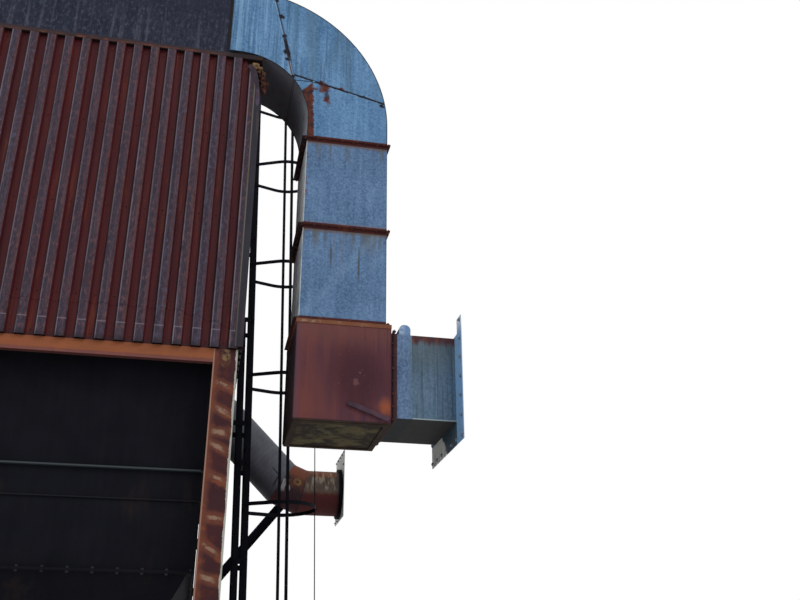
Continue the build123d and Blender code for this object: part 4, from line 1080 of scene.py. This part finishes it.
half = climb["half strap"]
hoopRises = [climb["top"] * share + half for share in climb["hoops"]] + [climb["top"] - half]
places = []
for s in (-1, 1):
    for share in climb["clips"]:
        for u in climb["clip holes"]:
            places.append((onLadder(u, s * climb["face"], frameTop * share), (0, s, 0)))
    for z in climb["arms"]:
        railX = ladderX - z * math.tan(climb["lean"])
        places.append(((railX, ladderY + s * climb["face"], z), (0, s, 0)))
    for h in hoopRises:
        places.append((onLadder(climb["hoop in"], s * climb["hoop face"], h), (0, s, 0)))
        out = climb["cage"] + climb["strap out"][s]
        places.append((onLadder(out, s * climb["cage half"], h), (0, s, 0)))
for h in hoopRises:
    places.append((onLadder(climb["cage"] + climb["radius"], 0, h), ladderOut))
growBolts("ladder_bolts", places, climb, "black")


def loop(centre, first, second, count):  # a closed ellipse from its two half axes
    centre, first, second = Vector(centre), Vector(first), Vector(second)
    turns = [2 * math.pi * i / count for i in range(count)] + [0.0]
    return [centre + first * math.cos(t) + second * math.sin(t) for t in turns]


rungRings = []
for i in range(int((climb["top"] - rungs["top gap"]) / rungs["pitch"])):
    h = rungs["first"] + i * rungs["pitch"]
    for s in (-1, 1):
        centre = onLadder(0, s * rungs["end"], h)
        outward, upward = Vector(ladderOut) * rungs["radius"], (0, 0, rungs["radius"])
        rungRings.append(loop(centre, outward, upward, rungs["steps"]))
growBeads("rung_welds", rungRings, rungs, "black")

# seams of the bend, round its cheeks and wraps, and the folded edges of its cheeks
bendSeams = {"bead": 0.0032, "sides": 8, "wall gap": 0.004, "flange gap": 0.03, "step": 3}
seamLines = []
for points in elbowSeams.values():
    front = [(x, ductFront, z) for x, z in points]
    rear = [(x, ductRear, z) for x, z in reversed(points)]
    seamLines.append(front + rear + [front[0]])
for radius in (bend["inner"], bend["outer"]):
    for y in (ductFront, ductRear):
        arc = [(plenumRight + bendSeams["wall gap"], y, bend["z"] + radius)]
        for turn in range(0, 91, bendSeams["step"]):
            t = math.radians(turn)
            arc.append((bend["x"] + radius * math.sin(t), y, bend["z"] + radius * math.cos(t)))
        seamLines.append(arc + [(bend["x"] + radius, y, jointHeights[0] + bendSeams["flange gap"])])
growBeads("bend_seams", seamLines, bendSeams, "weld")

# lock seams down the corners of the straight sections, and the box's corner welds
ductSeams = {"bead": 0.0028, "sides": 8, "flange gap": 0.028}
boxWelds = {"bead": 0.004, "sides": 8, "foot gap": 0.004, "flange gap": 0.034}
gap = ductSeams["flange gap"]
cornerLines = []
for upper, lower in zip(jointHeights, jointHeights[1:]):
    for x in (ductLeft, ductRight):
        for y in (ductFront, ductRear):
            cornerLines.append([(x, y, lower + gap), (x, y, upper - gap)])
growBeads("duct_corner_seams", cornerLines, ductSeams, "duct")
foot, top = boxLow + boxWelds["foot gap"], jointHeights[2] - boxWelds["flange gap"]
boxLines = [[(x, y, foot), (x, y, top)] for x in (boxLeft, boxRight) for y in (boxFront, boxRear)]
growBeads("box_corner_welds", boxLines, boxWelds, "box")

# round inlet: mitre welds, ring seams of the leg, and the round cap on the bend
legEnd = Vector((1.244, inletY, 4.343))
mitreWelds = {"bead": 0.005, "sides": 8, "steps": 64, "half mitre": math.radians(11.25),
              "bends": ((tuple(legEnd), 33.75), ((1.495, inletY, 4.239), 11.25))}
mitres = []
for centre, lean in mitreWelds["bends"]:
    tilt, half = math.radians(lean), inletRadius / math.cos(mitreWelds["half mitre"])
    long = (math.sin(tilt) * half, 0, math.cos(tilt) * half)
    mitres.append(loop(centre, long, (0, inletRadius, 0), mitreWelds["steps"]))
growBeads("inlet_mitre_welds", mitres, mitreWelds, "gore")
legRings = {"bead": 0.0018, "sides": 6, "gap": legLook["ring gap"], "steps": 48, "clear": 0.01}
rings = []
for i in range(3, 18):
    centre = legEnd + Vector((-diagonal, 0, diagonal)) * (legRings["gap"] * i)
    if centre.x - inletRadius * 0.71 > casingRight + legRings["clear"]:  # whole rings only
        across = Vector((diagonal, 0, diagonal)) * inletRadius
        rings.append(loop(centre, across, (0, inletRadius, 0), legRings["steps"]))
growBeads("leg_ring_seams", rings, legRings, "leg")
capBead = {"bead": 0.006, "sides": 8, "along": 0.18, "radius": 0.045, "up": 0.13, "steps": 24,
           "lean": math.radians(22.5)}
capCos, capSin = math.cos(capBead["lean"]), math.sin(capBead["lean"])
axis, upward = Vector((capCos, 0, -capSin)), Vector((capSin, 0, capCos))
capRing = []
for i in range(capBead["steps"] + 1):
    t = 2 * math.pi * (i % capBead["steps"]) / capBead["steps"]
    turn = capBead["up"] + capBead["radius"] * math.sin(t) / inletRadius
    centre = legEnd + axis * (capBead["along"] + capBead["radius"] * math.cos(t))
    sideways = Vector((0, -1, 0)) * (inletRadius * math.cos(turn))
    capRing.append(centre + sideways + upward * (inletRadius * math.sin(turn)))
growBeads("inlet_cap_ring", [capRing], capBead, "capBead")
print("beads and seams run")

# the torn corner beside the duct: a bent strip of trim and caked dust
tornStrip = {
    "outer": [(-0.004, -0.446), (-0.008, -0.334), (-0.017, -0.23), (-0.034, -0.137), (-0.070, -0.065),
              (-0.102, -0.051)],
    "inner": [(-0.040, -0.446), (-0.040, -0.34), (-0.046, -0.26), (-0.069, -0.18), (-0.095, -0.11),
              (-0.122, -0.075)],
    "curl": [0.0, -0.002, -0.006, -0.010, -0.012, -0.008], "inner curl": 0.3, "sheet": 0.003, "levels": 2,
}
mesh = bpy.data.meshes.new("tornStrip")
spots, faces = [], []
for (outX, outZ), (inX, inZ), curl in zip(tornStrip["outer"], tornStrip["inner"], tornStrip["curl"]):
    spots.append((casingRight + outX, casingFront + curl, claddingTop + outZ))
    spots.append((casingRight + inX, casingFront + curl * tornStrip["inner curl"], claddingTop + inZ))
for i in range(0, len(spots) - 2, 2):
    faces.append((i, i + 1, i + 3, i + 2))
mesh.from_pydata(spots, [], faces)
strip = bpy.data.objects.new("torn_strip", mesh)
bpy.context.scene.collection.objects.link(strip)
thick = strip.modifiers.new("sheet", "SOLIDIFY")
thick.thickness, thick.offset = tornStrip["sheet"], 0
soft = strip.modifiers.new("soft", "SUBSURF")
soft.levels = soft.render_levels = tornStrip["levels"]
wear(strip, finishes["bentTrim"])
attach(strip, "root")

clods = {
    "spots": [(0.385, -2.95, 6.37), (0.42, -2.94, 6.375), (0.455, -2.87, 6.39), (0.485, -2.85, 6.28),
              (0.465, -2.93, 6.17), (0.43, -2.93, 6.32), (0.40, -2.94, 6.36), (0.47, -2.9, 6.22),
              (0.44, -2.96, 6.34), (0.457, -2.95, 6.30), (0.462, -2.95, 6.26), (0.466, -2.94, 6.21)],
    "crumbs": 8, "strewn": [(-0.024, 0.02), (-0.01, 0.04), (-0.035, 0.022)], "size": 0.014, "bumps": 0.008,
    "seed": 6,
}
random.seed(21)
spots = list(clods["spots"])
for spot in clods["spots"]:
    for i in range(clods["crumbs"]):
        spots.append([at + random.uniform(*reach) for at, reach in zip(spot, clods["strewn"])])
growPiece("caked_dust", pointsMesh("cakedDust", [(spot, (0, 0, 1)) for spot in spots]), "clods",
          {"Size": clods["size"], "Bumps": clods["bumps"], "Seed": clods["seed"]}, "clod")
print("torn corner dressed")


# studio: pale floor, white surroundings, two soft lamps and the camera
studio = {
    "floor": 60, "depth": -0.001, "ground": (232, 232, 232), "rough": 0.9, "light": 0.68,
    "camera": (0.255, -9.2625, 1.6), "up": 23.8, "right": 11.8, "focal": 955, "width": 800, "sensor": 36,
    "far": 200, "lamp aim": (0, 0, 4),
    "lamps": {"key": ((7, -12, 13), 430, 6), "fill": ((-9, -9, 7), 250, 7)},
}
reach, depth = studio["floor"], studio["depth"]
corners = [(-reach, -reach, depth), (reach, -reach, depth), (reach, reach, depth), (-reach, reach, depth)]
floorMesh = bpy.data.meshes.new("studioFloor")
floorMesh.from_pydata(corners, [], [(0, 1, 2, 3)])
studioFloor = bpy.data.objects.new("studioFloor", floorMesh)
bpy.context.scene.collection.objects.link(studioFloor)
material, spot, x, y, z = startFinish("pale floor")
endFinish(spot, paint(studio["ground"]), studio["rough"])
wear(studioFloor, material)

world = bpy.data.worlds.new("studio")
bpy.context.scene.world = world
world.use_nodes = True
world.node_tree.nodes.clear()
rays = Wire(world.node_tree).node("ShaderNodeLightPath")
seen = rays.most(rays.also(3)).most(rays.also(6))  # by the camera, in gloss and through glass
strength = seen * (1.0 - studio["light"]) + studio["light"]
backdrop = rays.node("ShaderNodeBackground", {"Color": (1, 1, 1, 1), "Strength": strength})
rays.node("ShaderNodeOutputWorld", {"Surface": backdrop})

for name, (lampAt, power, width) in studio["lamps"].items():
    lamp = bpy.data.lights.new(name, "AREA")
    lamp.energy, lamp.size = power, width
    lampObject = bpy.data.objects.new(name, lamp)
    lampObject.location = lampAt
    ray = Vector(studio["lamp aim"]) - Vector(lampAt)
    lampObject.rotation_euler = ray.to_track_quat("-Z", "Y").to_euler()
    bpy.context.scene.collection.objects.link(lampObject)

lens = bpy.data.cameras.new("photoView")
lens.sensor_width, lens.sensor_fit = studio["sensor"], "HORIZONTAL"
lens.lens = studio["focal"] / studio["width"] * studio["sensor"]
lens.clip_end = studio["far"]
camera = bpy.data.objects.new("photoView", lens)
camera.location = studio["camera"]
camera.rotation_euler = (math.radians(90 + studio["up"]), 0, math.radians(-studio["right"]))
bpy.context.scene.collection.objects.link(camera)
bpy.context.scene.camera = camera
bpy.context.scene.view_settings.view_transform = "Standard"
print("studio ready")
